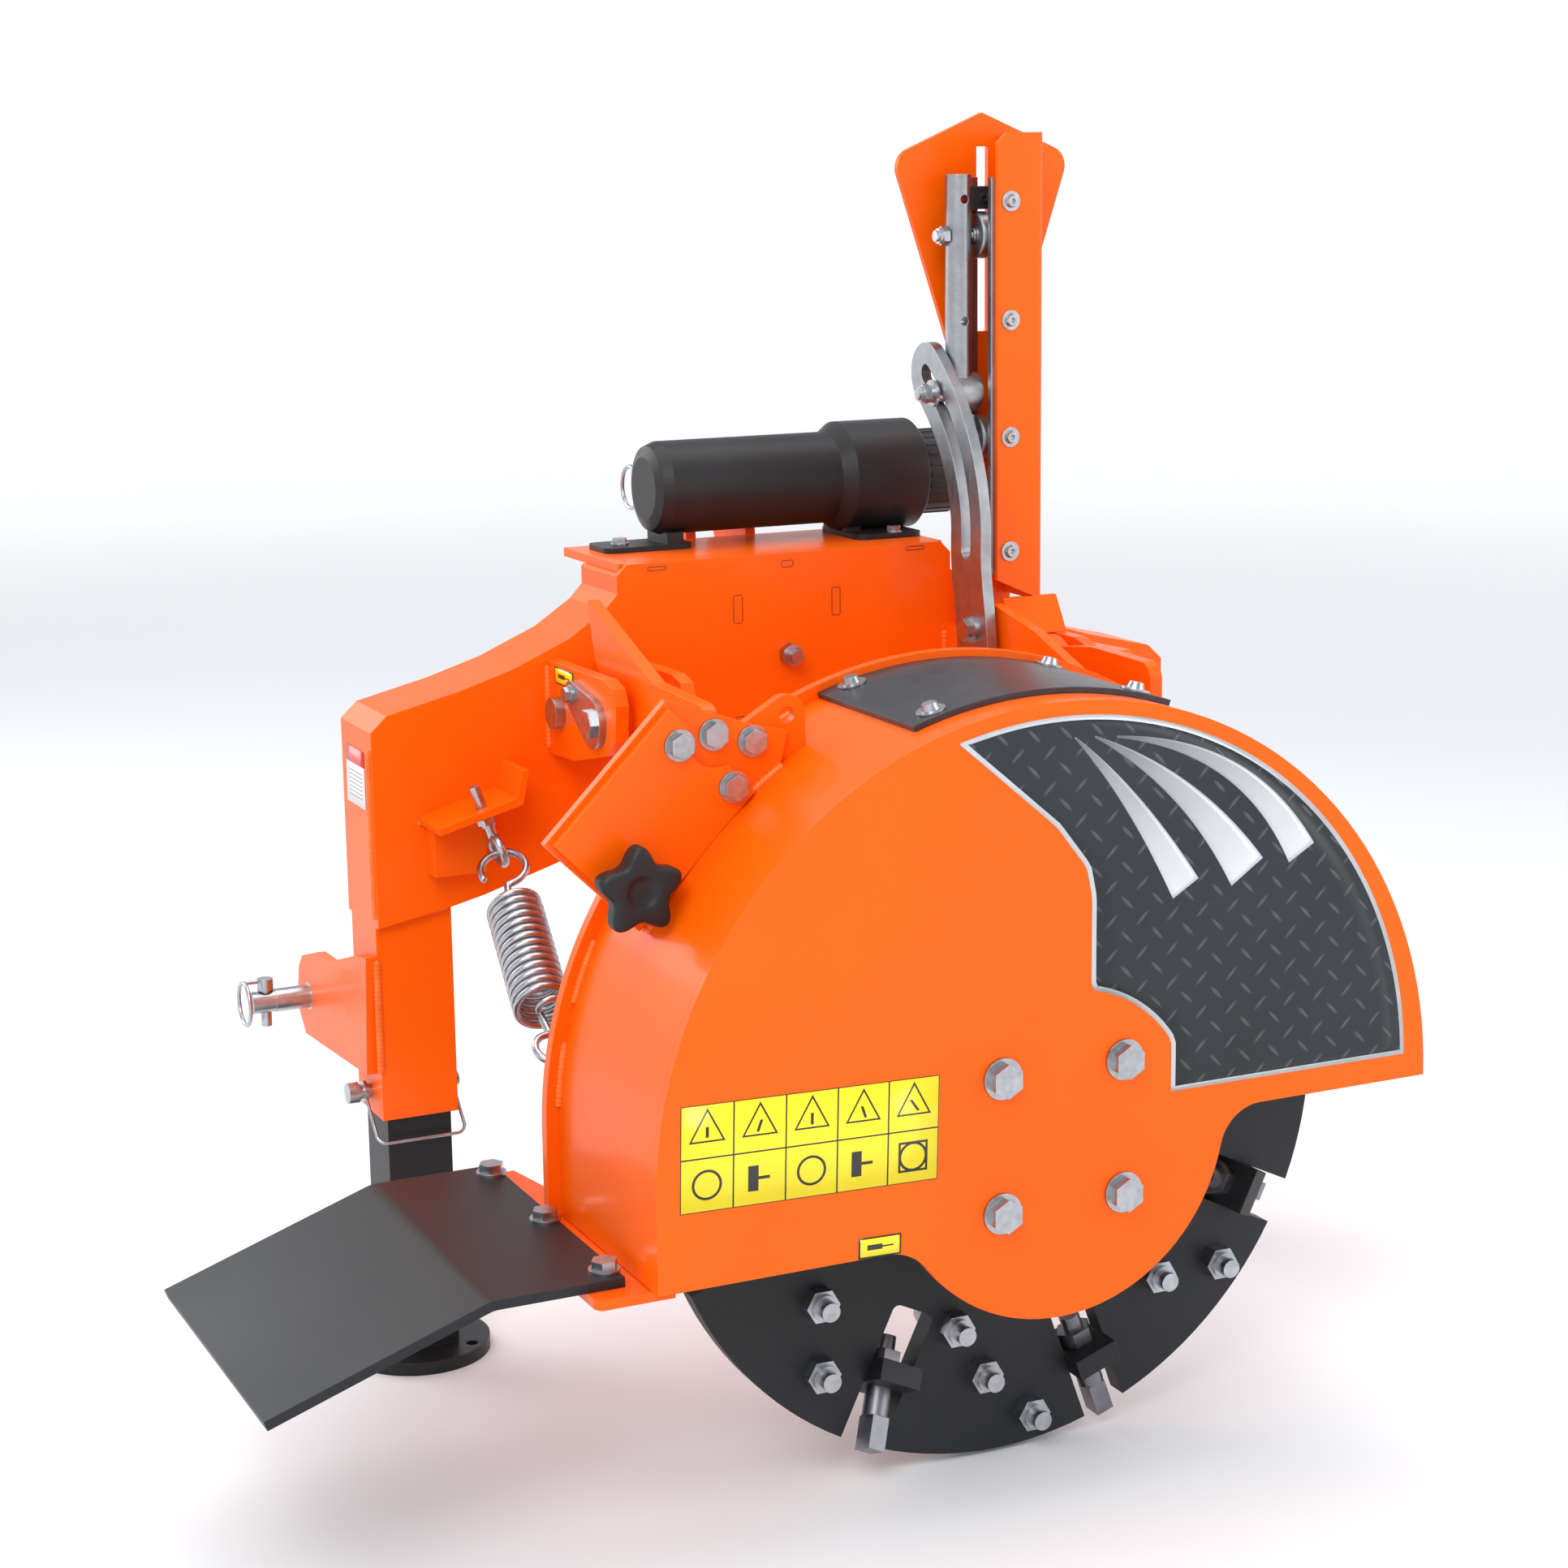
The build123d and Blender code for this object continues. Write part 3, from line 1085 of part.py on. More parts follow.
with BuildPart() as spring:
    with BuildLine() as coil_line:
        Helix(SPRING_PITCH, coil_length, SPRING_R, center=coil_top, direction=PULL)
    with BuildSketch(Plane(origin=coil_line.line @ 0, z_dir=coil_line.line % 0)) as wire_face:
        Circle(SPRING_WIRE)
    sweep(wire_face.sketch, path=coil_line.line, is_frenet=True)
    for ring, normal, ring_r, coil_end, tip in (
            (top_ring, hook_normal, TOP_HOOK_R, coil_top, coil_line.line @ 0),
            (low_ring, lug_normal, LOW_HOOK_R, coil_low, coil_line.line @ 1)):
        with Locations(Plane(origin=ring, z_dir=normal)):
            Torus(ring_r, SPRING_WIRE)
        start = ring + (coil_end - ring).normalized() * ring_r
        spoke = (tip - coil_end).normalized() * (SPRING_R - SPRING_WIRE - GAP)
        for a, b in ((start, coil_end), (coil_end, coil_end + spoke)):
            with BuildSketch(along(*a, b - a)) as rod:
                Circle(SPRING_WIRE)
            extrude(rod.sketch, amount=(b - a).length)
        with Locations(Location(coil_end)):
            Sphere(SPRING_WIRE)
spring.part.label = "spring"
export_step(spring.part, "parts/spring.step")

# ---------------------------------------------------------------- depth indicator tower on the frame
CHANNEL_T = 5.0
WEB_X = 221.0                 # outer face of the channel's web
CHANNEL_X = 174.0             # free edge of the channel's front flange
CHANNEL_FOOT = 359.0
STRIP_T = 6.0
FLANGE_BACK = TRACK_Y - ROLLER_R - GAP - STRIP_T
FAN_FRONT = TRACK_Y + ROLLER_R + GAP + STRIP_T
FAN_T = 6.0
FAN_HALF = 91.0
FAN_SHOULDER = 760.0
FAN_WAIST = 563.0
FAN_FOOT = 333.0
STRIP_LOW = 385.0
STRIP_HIGH = 741.0
WINDOW_HALF = 6.0
WINDOW_LOW = 602.0
WINDOW_HIGH = 768.0
SCREW_X = 187.0
SCREW_ROWS = (406.0, 510.0, 615.0, 720.0)
SCREW_R = 4.0

with BuildPart() as fan_plate:
    with BuildSketch(facing(FAN_FRONT + FAN_T)):
        polygon([(TOWER_X - FAN_HALF, FAN_SHOULDER), (TOWER_X, FAN_TOP), (TOWER_X + FAN_HALF, FAN_SHOULDER),
                 (TOWER_X + 25, FAN_WAIST), (TOWER_X - 25, FAN_WAIST)])
        fillet(vertices().sort_by(Axis.X)[0], 18)
        fillet(vertices().sort_by(Axis.X)[-1], 18)
        polygon([(TOWER_X - 25, FAN_WAIST + 1), (WEB_X, FAN_WAIST + 1), (WEB_X, FAN_FOOT),
                 (TOWER_X - 15, FAN_FOOT), (TOWER_X - 25, FAN_FOOT + 12)])
        with Locations((TOWER_X, (WINDOW_LOW + WINDOW_HIGH) / 2)):
            Rectangle(2 * WINDOW_HALF, WINDOW_HIGH - WINDOW_LOW, mode=Mode.SUBTRACT)
    extrude(amount=FAN_T)
    with BuildSketch(facing(FRAME_FRONT)):
        polygon([(178, FAN_FOOT), (214, FAN_FOOT), (214, 345), (180, 367), (178, 367)])
    extrude(amount=FRAME_FRONT - FAN_FRONT - FAN_T)
fan_plate.part.label = "fan_plate"
export_step(fan_plate.part, "parts/fan_plate.step")

HOOD_LEFT = 180.0
HOOD_SIDE = [(FLANGE_BACK, CHANNEL_FOOT + 4), (FLANGE_BACK, CHANNEL_FOOT - 4), (FRONT + 405, 331),
             (FRONT + 399, 331), (FLANGE_BACK - CHANNEL_T, CHANNEL_FOOT + 4)]
with BuildPart() as tower_channel:
    with BuildSketch(facing(FLANGE_BACK)):
        polygon([(CHANNEL_X, TOWER_TOP - 9), (CHANNEL_X + 9, TOWER_TOP), (WEB_X, TOWER_TOP),
                 (WEB_X, CHANNEL_FOOT), (CHANNEL_X, CHANNEL_FOOT + 21)])
        with Locations(*[(SCREW_X, z) for z in SCREW_ROWS]):
            Circle(SCREW_R, mode=Mode.SUBTRACT)
    extrude(amount=CHANNEL_T)
    with BuildSketch(facing(FAN_FRONT)):
        with Locations((WEB_X - CHANNEL_T / 2, (TOWER_TOP + CHANNEL_FOOT) / 2)):
            Rectangle(CHANNEL_T, TOWER_TOP - CHANNEL_FOOT)
    extrude(amount=FAN_FRONT - FLANGE_BACK)
    corner = tower_channel.edges().filter_by(Axis.Z)
    fillet(corner.sort_by_distance((WEB_X, FLANGE_BACK - CHANNEL_T, TOWER_TOP / 2))[0], 4)
    with BuildSketch(across(HOOD_LEFT)):
        polygon(HOOD_SIDE)
    extrude(amount=EAR_OUT - HOOD_LEFT)
tower_channel.part.label = "tower_channel"
export_step(tower_channel.part, "parts/tower_channel.step")

with BuildPart() as guide_strips:
    with BuildSketch(facing(FLANGE_BACK + STRIP_T)):
        with Locations(((170 + 200) / 2, (STRIP_LOW + STRIP_HIGH) / 2)):
            Rectangle(30, STRIP_HIGH - STRIP_LOW)
        with Locations(*[(SCREW_X, z) for z in SCREW_ROWS]):
            Circle(SCREW_R, mode=Mode.SUBTRACT)
    extrude(amount=STRIP_T)
    with BuildSketch(facing(FAN_FRONT)):
        with Locations(((168 + 183) / 2, (STRIP_LOW + STRIP_HIGH) / 2)):
            Rectangle(15, STRIP_HIGH - STRIP_LOW)
    extrude(amount=STRIP_T)
guide_strips.part.label = "guide_strips"
export_step(guide_strips.part, "parts/guide_strips.step")

SCREW_HEAD_R = 6.0
SCREW_WASHER_R = 9.0
with BuildPart() as tower_screws:
    for z in SCREW_ROWS:
        for seat, radius, length, taper in (
                (FLANGE_BACK - CHANNEL_T, SCREW_R, -CHANNEL_T - STRIP_T + GAP, 0),
                (FLANGE_BACK - CHANNEL_T, SCREW_WASHER_R, 1.5, 0),
                (FLANGE_BACK - CHANNEL_T - 1.5, SCREW_HEAD_R, 3.5, 22)):
            with BuildSketch(facing(seat)):
                with Locations((SCREW_X, z)):
                    Circle(radius)
            extrude(amount=length, taper=taper)
        with BuildSketch(facing(FLANGE_BACK - CHANNEL_T - 5)):
            with Locations((SCREW_X, z)):
                RegularPolygon(2.6, 6)
        extrude(amount=-2.5, mode=Mode.SUBTRACT)
tower_screws.part.label = "tower_screws"
export_step(tower_screws.part, "parts/tower_screws.step")

# ---------------------------------------------------------------- indicator carriage
BAR_R = 12.0
BAR_X = LINK_BACK + 1.5 + BAR_R
BAR_BOTTOM = 490.0
BAR_TOP = 744.0
AXLE_R = 5.0
ROLLER_T = 12.0
ROLLER_X = BAR_X + BAR_R + 2.5
ROLLER_ROWS = (("guide_roller_upper", 690.0), ("guide_roller_lower", 508.0))
UPPER_ROLLER_Z = ROLLER_ROWS[0][1]
AXLE_HEAD_T = 3.0
HUB_R = 18.0
HUB_END = BAR_X + BAR_R + 4.5

with BuildPart() as carriage_bar:
    with BuildSketch(Plane.XY.offset(BAR_BOTTOM)):
        with Locations((BAR_X, TRACK_Y)):
            Circle(BAR_R)
    extrude(amount=BAR_TOP - BAR_BOTTOM)
    with BuildSketch(across(BAR_X - BAR_R / 2)):
        with Locations((TRACK_Y, FOLLOWER_Z)):
            Circle(HUB_R)
    extrude(amount=HUB_END - BAR_X + BAR_R / 2)
    for row_z in (FOLLOWER_Z, ROLLER_ROWS[0][1], ROLLER_ROWS[1][1]):
        with BuildSketch(across(BAR_X - 2 * BAR_R)):
            with Locations((TRACK_Y, row_z)):
                Circle(AXLE_R)
        extrude(amount=4 * BAR_R, mode=Mode.SUBTRACT)
    with BuildSketch(facing(TRACK_Y + BAR_R)):
        with Locations((BAR_X, 722), (BAR_X, 614)):
            Circle(AXLE_R - 1)
    extrude(amount=2 * BAR_R, mode=Mode.SUBTRACT)
carriage_bar.part.label = "carriage_bar"
export_step(carriage_bar.part, "parts/carriage_bar.step")

FOLLOWER_TIP = LINK_X - 8.0
NYLOC = 9.0
with BuildPart() as carriage_bolts:
    for roller_name, row_z in ROLLER_ROWS:
        with BuildSketch(across(BAR_X - BAR_R)):
            with Locations((TRACK_Y, row_z)):
                Circle(AXLE_R)
        extrude(amount=ROLLER_X + ROLLER_T + GAP - BAR_X + BAR_R)
        with BuildSketch(across(ROLLER_X + ROLLER_T + GAP)):
            with Locations((TRACK_Y, row_z)):
                Circle(1.6 * AXLE_R)
        extrude(amount=AXLE_HEAD_T)
        with BuildSketch(across(BAR_X + BAR_R)):
            with Locations((TRACK_Y, row_z)):
                Circle(1.6 * AXLE_R)
                Circle(AXLE_R, mode=Mode.SUBTRACT)
        extrude(amount=ROLLER_X - GAP - BAR_X - BAR_R)
    with BuildSketch(across(BAR_X - BAR_R - NYLOC - 3)):
        with Locations((TRACK_Y, UPPER_ROLLER_Z)):
            Circle(AXLE_R)
    extrude(amount=NYLOC + 3)
    hex_nut(BAR_X - BAR_R, TRACK_Y, UPPER_ROLLER_Z, (-1, 0, 0), AXLE_R, NYLOC)
    with BuildSketch(across(FOLLOWER_TIP)):
        with Locations((TRACK_Y, FOLLOWER_Z)):
            Circle(FOLLOWER_R)
    extrude(amount=BAR_X - BAR_R - FOLLOWER_TIP)
    with BuildSketch(across(BAR_X - BAR_R)):
        with Locations((TRACK_Y, FOLLOWER_Z)):
            Circle(AXLE_R)
    extrude(amount=HUB_END - BAR_X + BAR_R)
    with BuildSketch(across(FOLLOWER_TIP + 3)):
        with Locations((TRACK_Y, FOLLOWER_Z)):
            Circle(1.5 * FOLLOWER_R)
    extrude(amount=3)
    hex_nut(FOLLOWER_TIP, TRACK_Y, FOLLOWER_Z, (-1, 0, 0), AXLE_R, NYLOC)
    with BuildSketch(across(FOLLOWER_TIP - NYLOC - 2)):
        with Locations((TRACK_Y, FOLLOWER_Z)):
            Circle(AXLE_R)
    extrude(amount=NYLOC + 2)
carriage_bolts.part.label = "carriage_bolts"
export_step(carriage_bolts.part, "parts/carriage_bolts.step")

for roller_name, row_z in ROLLER_ROWS:
    with BuildPart() as guide_roller:
        with BuildSketch(across(ROLLER_X)):
            with Locations((TRACK_Y, row_z)):
                Circle(ROLLER_R)
        extrude(amount=ROLLER_T)
        chamfer(guide_roller.edges().filter_by(GeomType.CIRCLE), 1.2)
        with BuildSketch(across(ROLLER_X)):
            with Locations((TRACK_Y, row_z)):
                Circle(AXLE_R + FIT)
        extrude(amount=ROLLER_T, mode=Mode.SUBTRACT)
    guide_roller.part.label = roller_name
    export_step(guide_roller.part, "parts/" + roller_name + ".step")

POINTER_Z = 723.0
POINTER_LEFT = BAR_X + BAR_R - 2.0
TONGUE_HALF = 3.5
with BuildPart() as pointer:
    with BuildSketch(facing(TRACK_Y + 16)):
        with Locations(((POINTER_LEFT + TOWER_X + TONGUE_HALF) / 2, POINTER_Z)):
            Rectangle(TOWER_X + TONGUE_HALF - POINTER_LEFT, 20)
    extrude(amount=22)
    with BuildSketch(Plane.XY.offset(POINTER_Z - 10)):
        with Locations((BAR_X, TRACK_Y)):
            Circle(BAR_R)
    extrude(amount=20, mode=Mode.SUBTRACT)
    with BuildSketch(facing(FAN_FRONT + FAN_T + 4)):
        with Locations((TOWER_X, POINTER_Z)):
            Rectangle(2 * TONGUE_HALF, 12)
    extrude(amount=FAN_FRONT + FAN_T + 4 - TRACK_Y - 16)
    with BuildSketch(facing(TRACK_Y - 6)):
        with Locations((BAR_X + BAR_R + 10, POINTER_Z)):
            Circle(SCREW_R)
            RegularPolygon(SCREW_R / 2, 6, mode=Mode.SUBTRACT)
    extrude(amount=3)
pointer.part.label = "pointer"
export_step(pointer.part, "parts/pointer.step")

# ---------------------------------------------------------------- document canister
CAN_LEFT = -99.0
COLLAR_LEFT = 98.0
COLLAR_RIGHT = 175.0
COLLAR_R = 52.0
CAP_R = 38.0
CAP_END = 220.0
CAP_START = 120.0
CAN_WALL = 3.0
CAN_ROUND = 14.0


def revolve_outline(points):
    """Turn the (X, radius) outline round the canister's axis."""
    with BuildSketch(Plane(origin=(0, CAN_Y, CAN_Z), x_dir=(1, 0, 0), z_dir=(0, -1, 0))) as half:
        Polygon(*points, align=None)
    revolve(half.sketch, axis=Axis((0, CAN_Y, CAN_Z), (1, 0, 0)))


SADDLE_TOP = CAN_Z - CAP_R - GAP - CAN_WALL + 2.0
with BuildPart() as canister:
    with BuildSketch(Plane.XY.offset(FRAME_TOP)):
        with Locations(((-147 - 60) / 2, CAN_Y)):
            Rectangle(87, 52)
        with Locations(((95 + 163) / 2, (FRONT + 541 + CAN_Y + 30) / 2)):
            Rectangle(68, CAN_Y + 30 - FRONT - 541)
        fillet(vertices(), 10)
        with Locations(*CAN_BOLTS):
            Circle(M8, mode=Mode.SUBTRACT)
    extrude(amount=CAN_FOOT_T)
    with BuildSketch(Plane.XY.offset(FRAME_TOP + CAN_FOOT_T)):
        with Locations((-78, CAN_Y), (105, CAN_Y)):
            Rectangle(16, 48)
    extrude(amount=SADDLE_TOP - FRAME_TOP - CAN_FOOT_T)
    revolve_outline([(CAN_LEFT, 0), (CAN_LEFT, CAN_R - CAN_ROUND), (CAN_LEFT + 4, CAN_R - 4),
                     (CAN_LEFT + CAN_ROUND, CAN_R), (COLLAR_LEFT - 12, CAN_R), (COLLAR_LEFT, COLLAR_R),
                     (COLLAR_RIGHT - 3, COLLAR_R), (COLLAR_RIGHT, COLLAR_R - 3),
                     (COLLAR_RIGHT, CAP_R + GAP), (CAN_LEFT + 20, CAP_R + GAP),
                     (CAN_LEFT + CAN_WALL, CAP_R - 20), (CAN_LEFT + CAN_WALL, 0)])
canister.part.label = "canister"
export_step(canister.part, "parts/canister.step")

RIB_COUNT = 24
with BuildPart() as canister_cap:
    revolve_outline([(CAP_START, CAP_R), (COLLAR_RIGHT + GAP, CAP_R), (COLLAR_RIGHT + GAP, CAP_R + 2),
                     (CAP_END - 3, CAP_R + 2), (CAP_END, CAP_R - 1), (CAP_END, 0), (CAP_END - CAN_WALL, 0),
                     (CAP_END - CAN_WALL, CAP_R - CAN_WALL), (CAP_START, CAP_R - CAN_WALL)])
    with BuildSketch(across(COLLAR_RIGHT + 6)):
        with Locations((CAN_Y, CAN_Z)):
            with PolarLocations(CAP_R + 2, RIB_COUNT):
                Rectangle(1.6, 3)
    extrude(amount=CAP_END - COLLAR_RIGHT - 12)
canister_cap.part.label = "canister_cap"
export_step(canister_cap.part, "parts/canister_cap.step")
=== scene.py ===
"""Looks of a tractor stump grinder: finishes, spring, knob, weld beads and stickers round its CAD frame.

Sizes are in metres.  The frame's origin is the drive shaft's end face, +Y points to the tractor and
+Z up.  Every new piece is a numpy surface.  It is placed from the frame's own boxes where one of them
gives the place, and from the sizes named below where none does.
"""

import json
import math

import bmesh
import bpy
import numpy as np
from bpy.props import FloatProperty, FloatVectorProperty, IntProperty, PointerProperty
from mathutils import Matrix, Vector


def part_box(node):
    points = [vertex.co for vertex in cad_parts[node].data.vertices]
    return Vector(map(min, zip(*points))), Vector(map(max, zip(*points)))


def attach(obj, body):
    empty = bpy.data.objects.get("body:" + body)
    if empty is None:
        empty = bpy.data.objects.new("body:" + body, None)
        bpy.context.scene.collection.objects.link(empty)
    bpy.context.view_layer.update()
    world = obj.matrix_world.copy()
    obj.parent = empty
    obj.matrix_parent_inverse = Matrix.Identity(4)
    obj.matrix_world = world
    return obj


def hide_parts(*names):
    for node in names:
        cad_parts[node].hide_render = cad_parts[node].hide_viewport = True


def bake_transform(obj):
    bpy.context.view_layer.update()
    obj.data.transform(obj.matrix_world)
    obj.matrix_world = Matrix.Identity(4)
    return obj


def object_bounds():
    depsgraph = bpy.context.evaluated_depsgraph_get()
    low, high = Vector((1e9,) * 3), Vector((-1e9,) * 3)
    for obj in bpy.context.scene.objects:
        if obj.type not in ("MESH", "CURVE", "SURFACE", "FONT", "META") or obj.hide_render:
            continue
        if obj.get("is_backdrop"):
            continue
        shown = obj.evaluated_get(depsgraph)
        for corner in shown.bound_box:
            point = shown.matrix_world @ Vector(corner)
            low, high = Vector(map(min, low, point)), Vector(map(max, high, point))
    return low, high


bl_info = {
    "name": "Stump grinder",
    "version": (1, 0, 0),
    "blender": (4, 5, 0),
    "location": "3D View > Sidebar > Grinder",
    "description": "Finishes and fine pieces of a tractor stump grinder",
    "category": "Add Mesh",
}

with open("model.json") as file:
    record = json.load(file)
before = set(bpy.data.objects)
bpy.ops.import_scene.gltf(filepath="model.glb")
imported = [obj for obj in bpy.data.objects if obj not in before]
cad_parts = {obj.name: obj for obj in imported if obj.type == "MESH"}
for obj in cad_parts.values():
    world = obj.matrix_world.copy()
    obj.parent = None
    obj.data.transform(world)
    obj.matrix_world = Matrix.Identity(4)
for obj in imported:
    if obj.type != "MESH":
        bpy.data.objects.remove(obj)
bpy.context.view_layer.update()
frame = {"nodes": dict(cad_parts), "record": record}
MM = 0.001
GUARD_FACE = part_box("guard_front_plate")[0].y
GUARD_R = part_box("guard_front_plate")[1].x
REAR_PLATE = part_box("guard_rear_plate")
FRAME_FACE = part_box("frame_front_plate")[0].y
FRAME_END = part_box("frame_front_plate")[1].x
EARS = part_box("hinge_ears")
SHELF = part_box("spring_bracket")
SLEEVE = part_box("leg_sleeve_left")
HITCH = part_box("hitch_plates")
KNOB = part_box("star_knob")
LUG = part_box("spring_lug")

# The spring hangs from the eye bolt's ring, below the shelf, and pulls on the hole in the head's lug.
EYE_TILT = math.radians(19)
EYE_BOLT_X = -0.324              # where the bolt starts
EYE_REACH = 0.062                # from there to the ring's centre
EYE_RING_R = 0.013
EYE_WIRE = 0.004
LUG_HOLE_R = 0.008
HOOK_REST = 0.0018               # a hook's wire to what it hangs in
HOOK_ARC = 300                   # degrees
COIL_STEPS = 36                  # points in one turn
COIL_TIP = 0.15                  # share of the coil's radius at its two ends
COIL_GROWTH = 1.6                # how fast the ends reach the full radius

# Weld beads.  Those round the guard start at these degrees, and the others are in metres.
GUARD_WELDS = (*range(98, 182, 14), *range(8, 60, 14))
GUARD_WELD_ARC = 9
GUARD_WELD_OUT = 0.0005
BRACKET_WELD = (122, 150)
BRACKET_WELD_OUT = 0.001
BEAD_SUNK = 0.4                  # share of a bead's radius that is sunk in the seam
EAR_WELDS = (0.162, 0.174, 0.224, 0.236)
EAR_WELD_LOW, EAR_WELD_TOP = 0.004, 0.325
SHELF_WELD_Z = (0.194, 0.213)
SHELF_WELD_END = 0.012
HITCH_WELD_LOW, HITCH_WELD_TOP = 0.014, 0.074
SLEEVE_WELD_IN = 0.333           # inner end of the bead across a sleeve
SLEEVE_WELD_Z = (0.105, 0.115)
SLEEVE_SIDE_Z = (0.110, 0.262)
CLEVIS_INSIDE = 0.026
CLEVIS_WELD_Z = (0.255, 0.395)
BEAD_SIDES = 8

# Star knob.  Each pair is a share of its radius and a depth: the dished face, then what is behind the head.
KNOB_HEAD = 0.020
KNOB_INSET = 0.0005              # its face, behind the frame's knob
KNOB_REACH = 0.0375              # centre to the tip of a lobe
KNOB_SHRINK = 0.0008             # lobes inside the frame's knob
KNOB_ROUND = 0.2                 # share of the radius that the rounded rim takes
KNOB_ROUND_PART = 0.42           # the profile is a plain circle inside this share
KNOB_BLEND = 0.3                 # and a full star this much further out
KNOB_HUB = 0.0135
KNOB_STUD = 0.035
KNOB_DISH = ((0, 0.003), (0.16, 0.003), (0.30, 0.0028), (0.34, 0.0006), (0.40, 0))
KNOB_BACK = ((0.5, 0), (0.41, 0), (0.41, 0.004), (0.41, KNOB_HUB), (0.17, KNOB_HUB),
             (0.17, KNOB_STUD), (0, KNOB_STUD))

# Area lamps: name, place, side and power in watts.
LAMPS = (
    ("key", (-2.2, -2.6, 3.0), 2.2, 88),
    ("fill", (3.0, -2.2, 1.4), 2.2, 40),
    ("top", (0.2, 0.3, 3.6), 3.2, 70),
    ("rim", (-1.6, 2.6, 1.6), 2.0, 36),
)
AIM = (0, 0, 0.1)                # where every lamp points
WORLD_STRENGTH = 0.62
FLOOR_HOLE = 0.02                # radius of the open middle
FLOOR_FLAT = 8                   # metres out to where the floor bends up
FLOOR_BEND = 2
WALL_TOP = 3
FLOOR_GLOW = 0.34
GLOW_START = 3.0                 # the floor starts to glow this far out
GLOW_REACH = 4.0                 # and glows fully this much further

# Stickers on the guard, millimetres in X and Z.
PANEL_R = 338.5                  # outer edge of the dark panel at its top
PANEL_DROP = 10.0                # how far that edge falls in towards its low end
PANEL_ARC = (106, 3.7)           # degrees
PANEL_HUB_R = 119
PANEL_HUB_ARC = (77, 33)
PANEL_STEP = ((-7, 251), (20, 216), (25, 192), (25, 122))
PANEL_FOOT = ((100, 56), (100, 22))
STRIPES = (                      # start, middle, end and widening of each
    ((8, 321), (61, 263), (111, 189), 13),
    ((26, 320), (106, 268), (169, 196), 17),
    ((46, 318), (150, 282), (221, 206), 13),
)
STRIPE_TIP = 0.8                 # half width at the narrow end
LABEL_TURN = -1.6                # degrees
SIGNS_AT, SIGNS_SIZE = (-221, 27.5), (218, 84)
GREASE_AT, GREASE_SIZE = (-163.5, -64.5), (37, 17)

# Stickers on the frame, metres: from and to along Y, from and to along Z.
SIDE_GAP = 0.0003
EAR_LABEL = ((0.096, 0.140), (0.3115, 0.3262))
NOTICE = ((0.179, 0.231), (0.206, 0.2575))

# Tab slots in the frame's front plate, millimetres: middle X, middle Z, width, height.
SLOTS = (
    (-0.4, 398.3, 11.6, 6), (-50.3, 360, 8.8, 25.6), (48.7, 360.2, 8.4, 25.7),
    (-49.5, 257.3, 9, 7), (-129, 402.8, 18.1, 3.2), (130.7, 403.8, 18.7, 3.2),
)
SLOT_LINE_R = 0.0005


# ---------------------------------------------------------------- shader expressions
class Value:
    """A shader socket that can be used in Python sums; each sum adds one Math node."""

    def __init__(self, finish, socket):
        self.finish = finish
        self.socket = socket

    def _math(self, operation, *terms):
        return self.finish.node("ShaderNodeMath", {"operation": operation}, dict(enumerate(terms)))

    def __add__(self, other):
        return self._math("ADD", self, other)

    def __radd__(self, other):
        return self._math("ADD", other, self)

    def __sub__(self, other):
        return self._math("SUBTRACT", self, other)

    def __rsub__(self, other):
        return self._math("SUBTRACT", other, self)

    def __mul__(self, other):
        return self._math("MULTIPLY", self, other)

    def __rmul__(self, other):
        return self._math("MULTIPLY", other, self)

    def __truediv__(self, other):
        return self._math("DIVIDE", self, other)

    def __pow__(self, other):
        return self._math("POWER", self, other)

    def __abs__(self):
        return self._math("ABSOLUTE", self)

    def __mod__(self, other):
        return self._math("FLOORED_MODULO", self, other)

    def __lt__(self, other):
        return self._math("LESS_THAN", self, other)

    def __gt__(self, other):
        return self._math("GREATER_THAN", self, other)

    def floor(self):
        return self._math("FLOOR", self)

    def largest(self, other):
        return self._math("MAXIMUM", self, other)

    def clamp(self):
        return self._math("MINIMUM", self._math("MAXIMUM", self, 0.0), 1.0)


